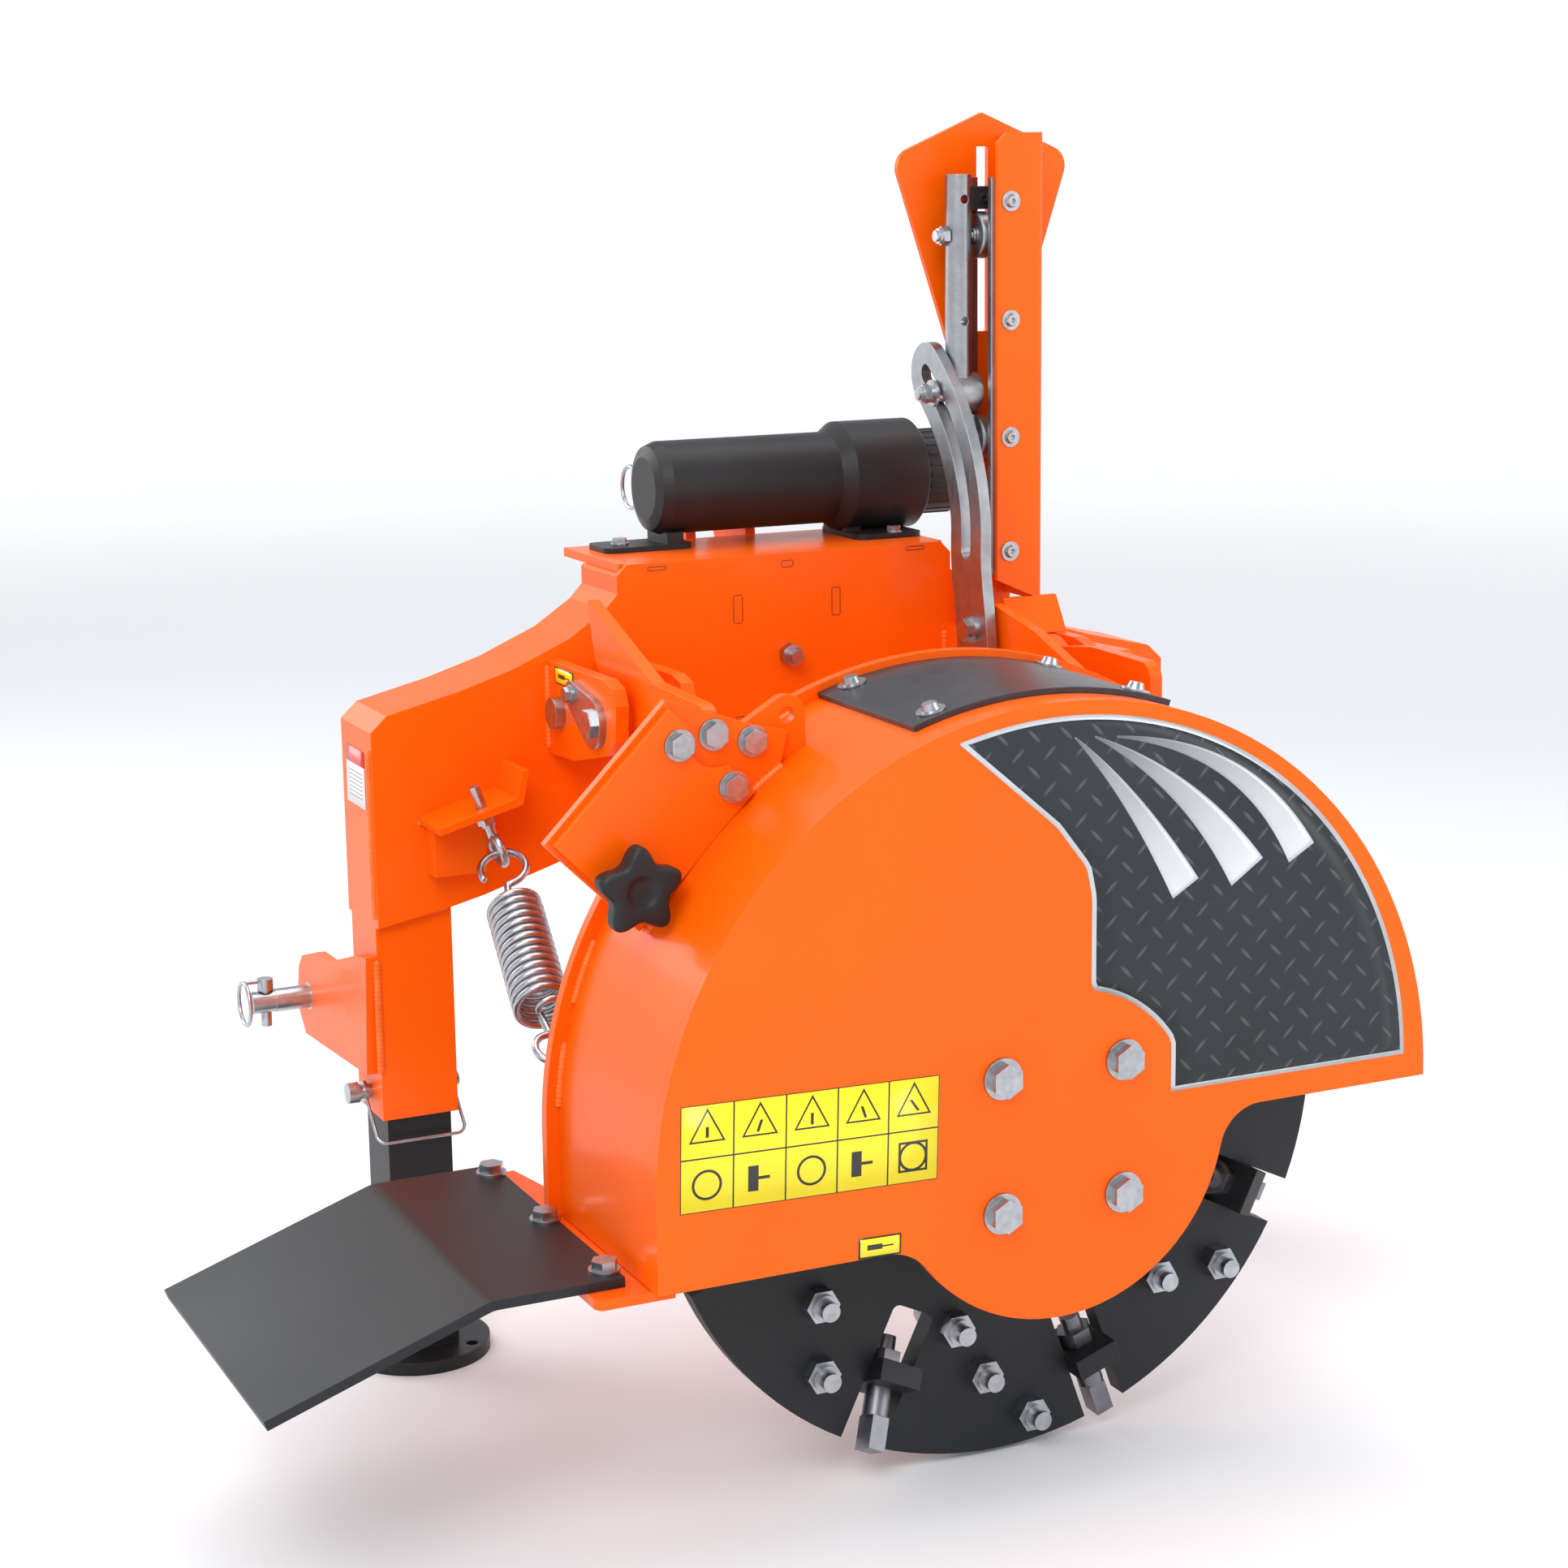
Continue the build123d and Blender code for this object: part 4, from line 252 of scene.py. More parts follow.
class Finish:
    """A node material with one Principled shader."""

    def __init__(self, name, **constants):
        self.material = bpy.data.materials.new(name)
        self.material.use_nodes = True
        self.tree = self.material.node_tree
        self.shader = self.tree.nodes["Principled BSDF"]
        for socket, value in constants.items():
            self.shader.inputs[socket.replace("_", " ")].default_value = value

    def node(self, kind, settings=None, inputs=None, output=0):
        """Any node: its settings first, then its sockets, each a number, a colour or a Value."""
        made = self.tree.nodes.new(kind)
        for key, setting in (settings or {}).items():
            setattr(made, key, setting)
        for key, value in (inputs or {}).items():
            if isinstance(value, Value):
                self.tree.links.new(value.socket, made.inputs[key])
            else:
                made.inputs[key].default_value = value
        return Value(self, made.outputs[output])

    def feed(self, socket, value):
        self.tree.links.new(value.socket, self.shader.inputs[socket])

    def place(self):
        """Object coordinates, in metres."""
        return self.node("ShaderNodeTexCoord", output="Object")

    def axes(self, vector):
        """The three numbers of a vector."""
        return [self.node("ShaderNodeSeparateXYZ", inputs={0: vector}, output=i) for i in range(3)]

    def noise(self, scale, detail=3.0, vector=None, rough=0.5):
        inputs = {"Scale": scale, "Detail": detail, "Roughness": rough}
        inputs["Vector"] = self.place() if vector is None else vector
        return self.node("ShaderNodeTexNoise", inputs=inputs, output="Fac")

    def blend(self, factor, first, second):
        """Colour that goes from first to second."""
        settings = {"data_type": "RGBA"}
        return self.node("ShaderNodeMix", settings, {"Factor": factor, 6: first, 7: second}, output=2)

    def rounded(self, radius):
        """Normal that rounds edges off by a radius."""
        return self.node("ShaderNodeBevel", {"samples": 4}, {"Radius": radius})

    def edges(self, rounded):
        """1 along edges, 0 on faces: how far the rounded normal turns from the true one."""
        true = self.node("ShaderNodeNewGeometry", output="Normal")
        pair = {0: rounded, 1: true}
        along = self.node("ShaderNodeVectorMath", {"operation": "DOT_PRODUCT"}, pair, output=1)
        return ((1 - along) * 9.0).clamp()

    def bump(self, height, strength, distance, normal=None):
        inputs = {"Height": height, "Strength": strength, "Distance": distance}
        if normal is not None:
            inputs["Normal"] = normal
        self.feed("Normal", self.node("ShaderNodeBump", inputs=inputs))


def opaque(colour):
    return (*colour[:3], 1.0)


# ---------------------------------------------------------------- finishes
def orange_paint(settings):
    """Glossy enamel: faint orange peel, slow tone drift, paler rounded edges that are a painted highlight and
    partly edge wear, light handling marks.
    """
    finish = Finish("orange_enamel", Coat_Roughness=0.12, Specular_IOR_Level=0.16)
    soft = finish.rounded(settings.edge_radius)
    edge = finish.edges(soft)
    drift = finish.noise(4.0, 4.0)
    marks = finish.noise(38.0, 8.0, rough=0.7)
    colour = finish.blend(drift, opaque(settings.orange_deep), opaque(settings.orange))
    # paler orange along every edge: a painted highlight, partly edge wear
    colour = finish.blend(edge * 0.3, colour, (1.0, 0.24, 0.03, 1.0))
    finish.feed("Base Color", colour)
    finish.feed("Roughness", 0.30 + marks * 0.14)
    finish.feed("Coat Weight", 0.16 - edge * 0.06)
    peel = finish.noise(260.0, 2.0)
    finish.bump(peel, 0.10, 0.0006, soft)
    return finish.material


def black_paint(settings):
    """Satin powder coat: fine pebble bump, dusty grey drift, grey edges that are edge wear and partly a
    painted highlight.
    """
    finish = Finish("black_powder_coat", Specular_IOR_Level=0.35)
    soft = finish.rounded(settings.edge_radius)
    edge = finish.edges(soft)
    drift = finish.noise(7.0, 6.0, rough=0.6)
    colour = finish.blend(drift, (0.006, 0.007, 0.008, 1), (0.018, 0.020, 0.023, 1))
    # grey along every edge: edge wear, partly a painted highlight
    colour = finish.blend(edge * 0.35, colour, (0.07, 0.073, 0.078, 1))
    finish.feed("Base Color", colour)
    finish.feed("Roughness", 0.36 + drift * 0.18)
    finish.bump(finish.noise(900.0, 2.0), 0.22, 0.0004, soft)
    return finish.material


def zinc_plate(settings):
    """Bright zinc: spangled tone, small stains, softened edges."""
    finish = Finish("zinc_plate", Metallic=1.0)
    soft = finish.rounded(settings.edge_radius * 0.4)
    spangle = finish.noise(160.0, 5.0)
    stain = finish.noise(22.0, 4.0)
    colour = finish.blend(spangle, (0.30, 0.31, 0.33, 1), (0.62, 0.64, 0.67, 1))
    colour = finish.blend(((stain - 0.5) * 1.4).clamp(), colour, (0.22, 0.215, 0.20, 1))
    finish.feed("Base Color", colour)
    finish.feed("Roughness", 0.22 + spangle * 0.16)
    finish.bump(spangle, 0.12, 0.0004, soft)
    return finish.material


def bright_steel(settings):
    """Galvanised flat bar: long scratches, mottled grey, bright edges that are a painted highlight and partly
    bare cut metal.
    """
    finish = Finish("galvanised_bar", Metallic=1.0)
    soft = finish.rounded(settings.edge_radius * 0.6)
    edge = finish.edges(soft)
    place = finish.place()
    stretched = finish.node("ShaderNodeMapping", {"vector_type": "POINT"},
                            {"Vector": place, "Scale": (260.0, 260.0, 18.0)})
    scratches = finish.noise(1.0, 6.0, stretched)
    mottle = finish.noise(55.0, 6.0, rough=0.7)
    colour = finish.blend(mottle, (0.20, 0.21, 0.22, 1), (0.52, 0.53, 0.55, 1))
    # near-white along every edge: a painted highlight, partly bare cut metal
    colour = finish.blend(edge * 0.7, colour, (0.85, 0.87, 0.90, 1))
    finish.feed("Base Color", colour)
    finish.feed("Roughness", 0.26 + scratches * 0.22)
    finish.bump(scratches + mottle * 0.5, 0.15, 0.0004, soft)
    return finish.material


def tool_steel(settings):
    """Dark hard-metal teeth with a ground, slightly blued face."""
    finish = Finish("tool_steel", Metallic=1.0)
    soft = finish.rounded(settings.edge_radius * 0.5)
    grind = finish.noise(70.0, 6.0)
    finish.feed("Base Color", finish.blend(grind, (0.13, 0.13, 0.15, 1), (0.34, 0.34, 0.36, 1)))
    finish.feed("Roughness", 0.30 + grind * 0.2)
    finish.bump(grind, 0.2, 0.0004, soft)
    return finish.material


def cast_housing(settings):
    """Painted casting with a coarse sand texture."""
    finish = Finish("cast_housing")
    sand = finish.noise(420.0, 4.0)
    finish.feed("Base Color", finish.blend(sand, (0.04, 0.045, 0.05, 1), (0.10, 0.105, 0.11, 1)))
    finish.feed("Roughness", 0.5 + sand * 0.2)
    finish.bump(sand, 0.5, 0.0006, finish.rounded(settings.edge_radius))
    return finish.material


def black_plastic(settings):
    """Moulded plastic with a fine spark-eroded grain."""
    finish = Finish("moulded_plastic", Specular_IOR_Level=0.3)
    grain = finish.noise(1400.0, 2.0)
    sheen = finish.noise(12.0, 3.0)
    finish.feed("Base Color", finish.blend(sheen, (0.012, 0.012, 0.013, 1), (0.024, 0.024, 0.026, 1)))
    finish.feed("Roughness", 0.34 + grain * 0.16)
    finish.bump(grain, 0.25, 0.0003, finish.rounded(settings.edge_radius))
    return finish.material


def rubber_sheet(settings):
    """Rolled rubber sheet: smooth, slightly wavy, with pale bloom."""
    finish = Finish("rubber_sheet")
    wave = finish.noise(14.0, 2.0)
    bloom = finish.noise(60.0, 6.0)
    finish.feed("Base Color", finish.blend(bloom, (0.016, 0.017, 0.020, 1), (0.045, 0.048, 0.055, 1)))
    finish.feed("Roughness", 0.28 + bloom * 0.16)
    finish.bump(wave + bloom * 0.08, 0.35, 0.004, finish.rounded(settings.edge_radius))
    return finish.material


def weld_metal(settings):
    """Painted weld bead: the enamel's colour, glossier, with soft ripples in the shape itself."""
    finish = Finish("painted_weld", Coat_Roughness=0.12, Coat_Weight=0.25, Specular_IOR_Level=0.25)
    tone = finish.noise(90.0, 3.0)
    finish.feed("Base Color", finish.blend(tone, opaque(settings.orange_deep), (1.0, 0.22, 0.03, 1)))
    finish.feed("Roughness", 0.2 + tone * 0.15)
    finish.bump(tone, 0.2, 0.0006)
    return finish.material


def ring_of(distance, middle, width):
    """1 where a distance is within a width of its middle."""
    return abs(distance - middle) < width


def pictogram_sheet():
    """Yellow sheet in two rows of five: triangles with one plain bar above, plain shapes below.

    The sheet's own map runs 0 to 5 across and 0 to 2 up, so each picture fills one unit square.
    """
    finish = Finish("pictogram_sheet", Coat_Weight=0.4, Coat_Roughness=0.15)
    across, up, _ = finish.axes(finish.node("ShaderNodeUVMap", {"uv_map": "sheet"}))
    u, v = across % 1.0 - 0.5, up % 1.0 - 0.5
    column = across.floor()
    upper = up > 1.0
    lines = (abs(u) > 0.485).largest(abs(v) > 0.485)
    triangle = (abs(u) * 0.88 + v * 0.48).largest(v * -1.0)
    border = ring_of(triangle, 0.19, 0.017)
    stroke = (abs(u) < 0.03) * (abs(v + 0.02) < 0.10)
    slant = ring_of(u + v * (column - 2.0) * 0.35, 0.0, 0.028) * (abs(v + 0.02) < 0.11)
    first = ring_of(column, 0.0, 0.5)
    above = border.largest(first * stroke).largest((1 - first) * slant)
    circle = (u * u + v * v) ** 0.5
    ring = ring_of(circle, 0.26, 0.025)
    box = ring_of(abs(u).largest(abs(v)), 0.27, 0.022)
    block = (abs(u + 0.12) < 0.10) * (abs(v) < 0.24)
    arrow = (abs(u) < 0.2) * (abs(v) < 0.03)
    pick = (column % 2.0) > 0.5
    below = pick * block.largest(arrow) + (1 - pick) * ring.largest(box * (column > 3.5))
    ink = lines.largest(upper * above).largest((1 - upper) * below).clamp()
    fade = finish.noise(30.0, 3.0)
    yellow = finish.blend(fade, (0.93, 0.72, 0.0, 1), (1.0, 0.84, 0.01, 1))
    finish.feed("Base Color", finish.blend(ink, yellow, (0.012, 0.012, 0.012, 1)))
    finish.feed("Roughness", 0.3 + fade * 0.15)
    return finish.material


def grease_label():
    """Small yellow label: black border and a plain bar with a nozzle."""
    finish = Finish("grease_label", Coat_Weight=0.4, Coat_Roughness=0.15)
    across, up, _ = finish.axes(finish.node("ShaderNodeUVMap", {"uv_map": "sheet"}))
    u, v = across - 0.5, up - 0.5
    edge = (abs(u) > 0.46).largest(abs(v) > 0.42)
    bar = (abs(u + 0.12) < 0.18) * (abs(v) < 0.13)
    nozzle = (abs(u - 0.18) < 0.14) * (abs(v) < 0.04)
    tone = finish.noise(60.0, 2.0)
    yellow = finish.blend(tone, (0.92, 0.70, 0.0, 1), (1.0, 0.83, 0.01, 1))
    ink = edge.largest(bar).largest(nozzle)
    finish.feed("Base Color", finish.blend(ink, yellow, (0.012, 0.012, 0.012, 1)))
    finish.feed("Roughness", 0.3 + tone * 0.1)
    return finish.material


def notice_label():
    """Blank white notice: red band on top, grey ruled lines below, no words."""
    finish = Finish("notice_label", Coat_Weight=0.4, Coat_Roughness=0.15)
    across, up, _ = finish.axes(finish.node("ShaderNodeUVMap", {"uv_map": "sheet"}))
    band = up > 0.72
    print_rows = ((up * 14.0) % 1.0 < 0.38) * (abs(across - 0.5) < 0.36) * (up < 0.62) * (up > 0.1)
    tone = finish.noise(80.0, 2.0)
    white = finish.blend(tone, (0.72, 0.72, 0.70, 1), (0.86, 0.86, 0.84, 1))
    colour = finish.blend(print_rows * 0.65, white, (0.10, 0.10, 0.11, 1))
    finish.feed("Base Color", finish.blend(band, colour, (0.62, 0.02, 0.015, 1)))
    finish.feed("Roughness", 0.32 + tone * 0.1)
    return finish.material


def tread_panel():
    """Dark panel printed like tread plate: lens-shaped lugs, alternately at +45 and -45 degrees."""
    finish = Finish("tread_panel", Specular_IOR_Level=0.3)
    x, _, z = finish.axes(finish.place())
    pitch = 0.0200
    along = (x + z) / (pitch * math.sqrt(2))
    over = (x - z) / (pitch * math.sqrt(2))
    u, v = along % 1.0 - 0.5, over % 1.0 - 0.5
    parity = (along.floor() + over.floor()) % 2.0
    first = (u * u) / 0.19 + (v * v) / 0.0075
    second = (v * v) / 0.19 + (u * u) / 0.0075
    lens = first * (1 - parity) + second * parity
    lug = (1 - lens).clamp()
    glow = finish.noise(5.0, 2.0)
    ground = finish.blend(glow, (0.010, 0.012, 0.014, 1), (0.036, 0.042, 0.048, 1))
    finish.feed("Base Color", finish.blend(lug * 0.55, ground, (0.13, 0.14, 0.15, 1)))
    finish.feed("Roughness", 0.34 - lug * 0.08)
    finish.bump(lug, 0.5, 0.0008)
    return finish.material


def silver_print():
    """Silver foil border."""
    finish = Finish("silver_foil", Metallic=0.75)
    tone = finish.noise(25.0, 3.0)
    finish.feed("Base Color", finish.blend(tone, (0.50, 0.53, 0.55, 1), (0.72, 0.75, 0.78, 1)))
    finish.feed("Roughness", 0.34 + tone * 0.1)
    return finish.material


def sweep_print():
    """Silver stripe that brightens from its narrow end to its wide end."""
    finish = Finish("silver_stripe", Metallic=0.5)
    along, _, _ = finish.axes(finish.node("ShaderNodeUVMap", {"uv_map": "sheet"}))
    tone = finish.noise(40.0, 3.0)
    bright = (along * 0.9 + tone * 0.15).clamp()
    finish.feed("Base Color", finish.blend(bright, (0.12, 0.13, 0.14, 1), (0.74, 0.76, 0.78, 1)))
    finish.feed("Roughness", 0.36 + tone * 0.1)
    return finish.material


def cut_line():
    """Dark narrow gap where a tab sits in its slot."""
    finish = Finish("slot_line")
    tone = finish.noise(300.0, 3.0)
    finish.feed("Base Color", finish.blend(tone, (0.16, 0.03, 0.004, 1), (0.30, 0.06, 0.008, 1)))
    finish.feed("Roughness", 0.55 + tone * 0.2)
    return finish.material


SLOT_FINISHES = {
    "orange_paint": orange_paint,
    "black_paint": black_paint,
    "zinc": zinc_plate,
    "bright_steel": bright_steel,
    "tool_steel": tool_steel,
    "cast_housing": cast_housing,
    "black_plastic": black_plastic,
    "rubber": rubber_sheet,
}
finished = {}


def finish_for(slot):
    """The material of a slot, made once."""
    if slot not in finished:
        finished[slot] = SLOT_FINISHES[slot](bpy.context.scene.grinder_paint)
    return finished[slot]


# ---------------------------------------------------------------- surfaces
def grid_faces(shape, wrap):
    """Quads of a grid of points, joined round where wrap says so."""
    index = np.arange(shape[0] * shape[1]).reshape(shape)
    if wrap[0]:
        index = np.vstack([index, index[:1]])
    if wrap[1]:
        index = np.hstack([index, index[:, :1]])
    corners = [index[:-1, :-1], index[1:, :-1], index[1:, 1:], index[:-1, 1:]]
    return np.stack(corners, -1).reshape(-1, 4)


def new_piece(name, grids, body, material, wrap=(False, True), chart=None, thick=0.0):
    """One object from one or more grids of points; chart gives each point's place on the sheet's map."""
    vertices, faces, start = [], [], 0
    for grid in grids:
        vertices.append(grid.reshape(-1, 3))
        faces.append(grid_faces(grid.shape[:2], wrap) + start)
        start += grid.shape[0] * grid.shape[1]
    vertices, faces = np.vstack(vertices), np.vstack(faces)
    mesh = bpy.data.meshes.new(name)
    mesh.from_pydata(vertices.tolist(), [], faces.tolist())
    if chart is not None:
        layer = mesh.uv_layers.new(name="sheet")
        layer.data.foreach_set("uv", chart.reshape(-1, 2)[faces.ravel()].astype(np.float32).ravel())
    work = bmesh.new()
    work.from_mesh(mesh)
    bmesh.ops.remove_doubles(work, verts=work.verts, dist=1e-6)
    if thick == 0.0:
        bmesh.ops.recalc_face_normals(work, faces=work.faces)
    work.to_mesh(mesh)
    work.free()
    mesh.polygons.foreach_set("use_smooth", np.ones(len(mesh.polygons), bool))
    mesh.materials.append(material)
    piece = bpy.data.objects.new(name, mesh)
    bpy.context.scene.collection.objects.link(piece)
    if thick > 0.0:
        solid = piece.modifiers.new("Thickness", "SOLIDIFY")
        solid.thickness = thick
        solid.offset = 1.0
    if body:
        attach(piece, body)
    return piece


def unit(vectors):
    """Vectors scaled to length 1."""
    return vectors / np.linalg.norm(vectors, axis=-1, keepdims=True)


def tube(path, radius, sides=12):
    """Tube round a path: centre + radius * (cos a * N + sin a * B), with N carried along without twist."""
    tangents = unit(np.gradient(path, axis=0))
    side = np.cross(tangents[0], [0.31, 0.52, 0.79])
    normals = np.empty_like(path)
    for i, tangent in enumerate(tangents):
        side = side - tangent * side.dot(tangent)
        side = side / np.linalg.norm(side)
        normals[i] = side
    binormals = np.cross(tangents, normals)
    angle = np.linspace(0, 2 * np.pi, sides, endpoint=False)
    turn = np.cos(angle)[None, :, None] * normals[:, None] + np.sin(angle)[None, :, None] * binormals[:, None]
    radii = np.broadcast_to(np.asarray(radius, float), (len(path),))
    return path[:, None] + radii[:, None, None] * turn


def rounded_ends(path, radius, wave=0.0, pitch=0.004):
    """Radius along a path: constant, rippled like a bead, and closed by a half circle at each end."""
    steps = np.linalg.norm(np.diff(path, axis=0), axis=1)
    length = np.concatenate([[0.0], np.cumsum(steps)])
    near = np.minimum(length, length[-1] - length) / radius
    cap = np.sqrt(np.clip(1 - (1 - np.clip(near, 0, 1)) ** 2, 0, 1))
    return radius * cap * (1 + wave * np.sin(2 * np.pi * length / pitch))


def straight(a, b, step=0.0012):
    """Points on the line from a to b."""
    a, b = np.array(a, float), np.array(b, float)
    count = max(int(np.linalg.norm(b - a) / step), 6)
    return a + np.linspace(0, 1, count)[:, None] * (b - a)


def arc(centre, radius, start, end, y, step=0.0012):
    """Arc in a plane of constant Y: (cx + r cos a, y, cz + r sin a), angles in degrees."""
    count = max(int(radius * math.radians(abs(end - start)) / step), 6)
    angle = np.radians(np.linspace(start, end, count))
    return np.stack([centre[0] + radius * np.cos(angle), np.full(count, y),
                     centre[1] + radius * np.sin(angle)], 1)


def front_sheet(points, y):
    """Lays a grid of (X, Z) pairs, in millimetres, on an upright plane facing the cutter side."""
    grid = np.empty((*points.shape[:2], 3))
    grid[..., 0] = points[..., 0] * MM
    grid[..., 1] = y
    grid[..., 2] = points[..., 1] * MM
    return grid


def resample(points, count):
    """Points evenly spaced along an open line, its corners kept near."""
    points = np.array(points, float)
    steps = np.linalg.norm(np.diff(points, axis=0), axis=1)
    length = np.concatenate([[0.0], np.cumsum(steps)])
    wanted = np.linspace(0, length[-1], count)
    return np.stack([np.interp(wanted, length, points[:, i]) for i in (0, 1)], 1)


def inset(outline, distance):
    """Closed outline moved inwards: each point goes along the mean of its two edge normals."""
    ahead = unit(np.roll(outline, -1, axis=0) - outline)
    behind = np.roll(ahead, 1, axis=0)
    mean = ahead + behind
    normal = unit(np.stack([mean[:, 1], -mean[:, 0]], 1))
    edge = np.stack([ahead[:, 1], -ahead[:, 0]], 1)
    reach = distance / np.clip((normal * edge).sum(1), 0.5, 1.0)
    return outline + normal * reach[:, None]


def ruled(first, second, rows=12):
    """Sheet of straight rulings from one line to the other: (1 - t) * first + t * second."""
    share = np.linspace(0, 1, rows)[:, None, None]
    return (1 - share) * first[None] + share * second[None]


# ---------------------------------------------------------------- settings
class PaintSettings(bpy.types.PropertyGroup):
    orange: FloatVectorProperty(name="Orange", description="Main enamel colour", subtype="COLOR", size=3,
                                default=(1.0, 0.135, 0.0), min=0, max=1)
    orange_deep: FloatVectorProperty(name="Deep orange", description="Darker drift of the enamel",
                                     subtype="COLOR", size=3, default=(0.93, 0.105, 0.0), min=0, max=1)
    edge_radius: FloatProperty(name="Edge radius", description="Shaded rounding of edges", default=0.0012,
                               min=0, unit="LENGTH")


class SpringSettings(bpy.types.PropertyGroup):
    wire: FloatProperty(name="Wire radius", description="Radius of the spring's wire", default=0.00325,
                        min=0.001, unit="LENGTH")
    radius: FloatProperty(name="Coil radius", description="Mean radius of the coil", default=0.0215,
                          min=0.005, unit="LENGTH")
    pitch: FloatProperty(name="Pitch", description="Rise of one turn", default=0.0086, min=0.006,
                         unit="LENGTH")
    turns: IntProperty(name="Turns", description="Turns of the coil", default=15, min=3)
    top_hook: FloatProperty(name="Top hook", description="Mean radius of the upper hook", default=0.020,
                            min=0.005, unit="LENGTH")
    low_hook: FloatProperty(name="Lower hook", description="Mean radius of the lower hook", default=0.015,
                            min=0.005, unit="LENGTH")


class KnobSettings(bpy.types.PropertyGroup):
    lobes: IntProperty(name="Lobes", description="Points of the star", default=5, min=3)
    waist: FloatProperty(name="Waist", description="Radius between two points", default=0.0245, min=0.01,
                         unit="LENGTH")
    edge: FloatProperty(name="Edge", description="Rounding of the rim", default=0.006, min=0.001,
                        unit="LENGTH")


class WeldSettings(bpy.types.PropertyGroup):
    bead: FloatProperty(name="Bead", description="Radius of a weld bead", default=0.0034, min=0.001,
                        unit="LENGTH")
    ripple: FloatProperty(name="Ripple", description="Depth of the ripples as a share", default=0.14, min=0)


class StickerSettings(bpy.types.PropertyGroup):
    lift: FloatProperty(name="Lift", description="Gap between a sticker and its plate", default=0.00015,
                        min=0.00005, unit="LENGTH")
    film: FloatProperty(name="Film", description="Thickness of a sticker", default=0.0002, min=0.00005,
                        unit="LENGTH")
    border: FloatProperty(name="Border", description="Width of the silver border, millimetres", default=4.0,
                          min=0)


class StageSettings(bpy.types.PropertyGroup):
    lens: FloatProperty(name="Lens", description="Focal length, millimetres", default=69.74, min=10)
    eye: FloatVectorProperty(name="Camera", description="Camera place", subtype="TRANSLATION", size=3,
                             default=(-1.1744, -2.3290, 0.7717))
    turn: FloatVectorProperty(name="Turn", description="Camera heading, dip and roll, degrees", size=3,
                              default=(25.154, 11.882, -0.745))


# ---------------------------------------------------------------- operators
class GRINDER_OT_finishes(bpy.types.Operator):
    """Gives every CAD node the finish of its slot"""
    bl_idname = "grinder.finishes"
    bl_label = "Finishes"

    def execute(self, context):
        for part in frame["record"]["subparts"]:
            node = frame["nodes"][part["node"]]
            node.data.materials.clear()
            node.data.materials.append(finish_for(part["material_slot"]))
        return {"FINISHED"}


class GRINDER_OT_spring(bpy.types.Operator):
    """Tension spring as one wire: open hook, coil, open hook"""
    bl_idname = "grinder.spring"
    bl_label = "Spring"

    def execute(self, context):
        sizes = context.scene.grinder_spring
        eye_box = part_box("eye_bolt")
        ring_z = eye_box[0].z + EYE_WIRE + EYE_RING_R * math.cos(EYE_TILT)
        ring_x = EYE_BOLT_X + EYE_REACH * math.sin(EYE_TILT)
        top = np.array([ring_x, (eye_box[0].y + eye_box[1].y) / 2, ring_z])
        low = np.array([(LUG[0].x + LUG[1].x) / 2, LUG[1].y - 2 * LUG_HOLE_R, (LUG[0].z + LUG[1].z) / 2])
        pull = unit(low - top)
        eye_normal = np.array([math.cos(EYE_TILT), 0, math.sin(EYE_TILT)])
        top_edge = top + pull * (EYE_RING_R - EYE_WIRE - sizes.wire - HOOK_REST)
        low_edge = low - pull * (LUG_HOLE_R - sizes.wire - HOOK_REST)
        top_centre = top_edge + pull * sizes.top_hook
        low_centre = low_edge - pull * sizes.low_hook
        middle = (top_centre + pull * sizes.top_hook + low_centre - pull * sizes.low_hook) / 2
        half = sizes.turns * sizes.pitch / 2
        start = middle - pull * half

        def hook(centre, normal, radius, out):
            """Open arc in the plane of the pull, from its free tip round to the far side.

            centre + radius * (cos a * out + sin a * side), a from HOOK_ARC to 0 degrees.
            """
            side = unit(np.cross(normal, out))
            angle = np.radians(np.linspace(HOOK_ARC, 0, 60))[:, None]
            return centre + radius * (np.cos(angle) * out + np.sin(angle) * side)

        ring_plane = unit(np.cross(pull, eye_normal))
        lug_plane = unit(np.cross(pull, [1.0, 0, 0]))
        axis_side = unit(np.cross(pull, [0, 0, 1.0]))
        axis_up = np.cross(pull, axis_side)
        upper = hook(top_centre, ring_plane, sizes.top_hook, pull)
        lower = hook(low_centre, lug_plane, sizes.low_hook, -pull)[::-1]
        count = sizes.turns * COIL_STEPS
        share = np.linspace(0, 1, count)[:, None]
        angle = 2 * np.pi * sizes.turns * share
        grow = np.sin(np.clip(np.minimum(share, 1 - share) * sizes.turns * COIL_GROWTH, 0, 1) * np.pi / 2)
        reach = sizes.radius * np.clip(grow, COIL_TIP, 1)
        around = np.cos(angle) * axis_side + np.sin(angle) * axis_up
        coil = start + pull * (2 * half * share) + reach * around
        path = np.vstack([upper, straight(upper[-1], coil[0], 0.003)[1:-1], coil,
                          straight(coil[-1], lower[0], 0.003)[1:-1], lower])
        wire = new_piece("spring_wire", [tube(path, rounded_ends(path, sizes.wire), 12)], None,
                         finish_for("zinc"))
        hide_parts("spring")
        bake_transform(wire)
        return {"FINISHED"}


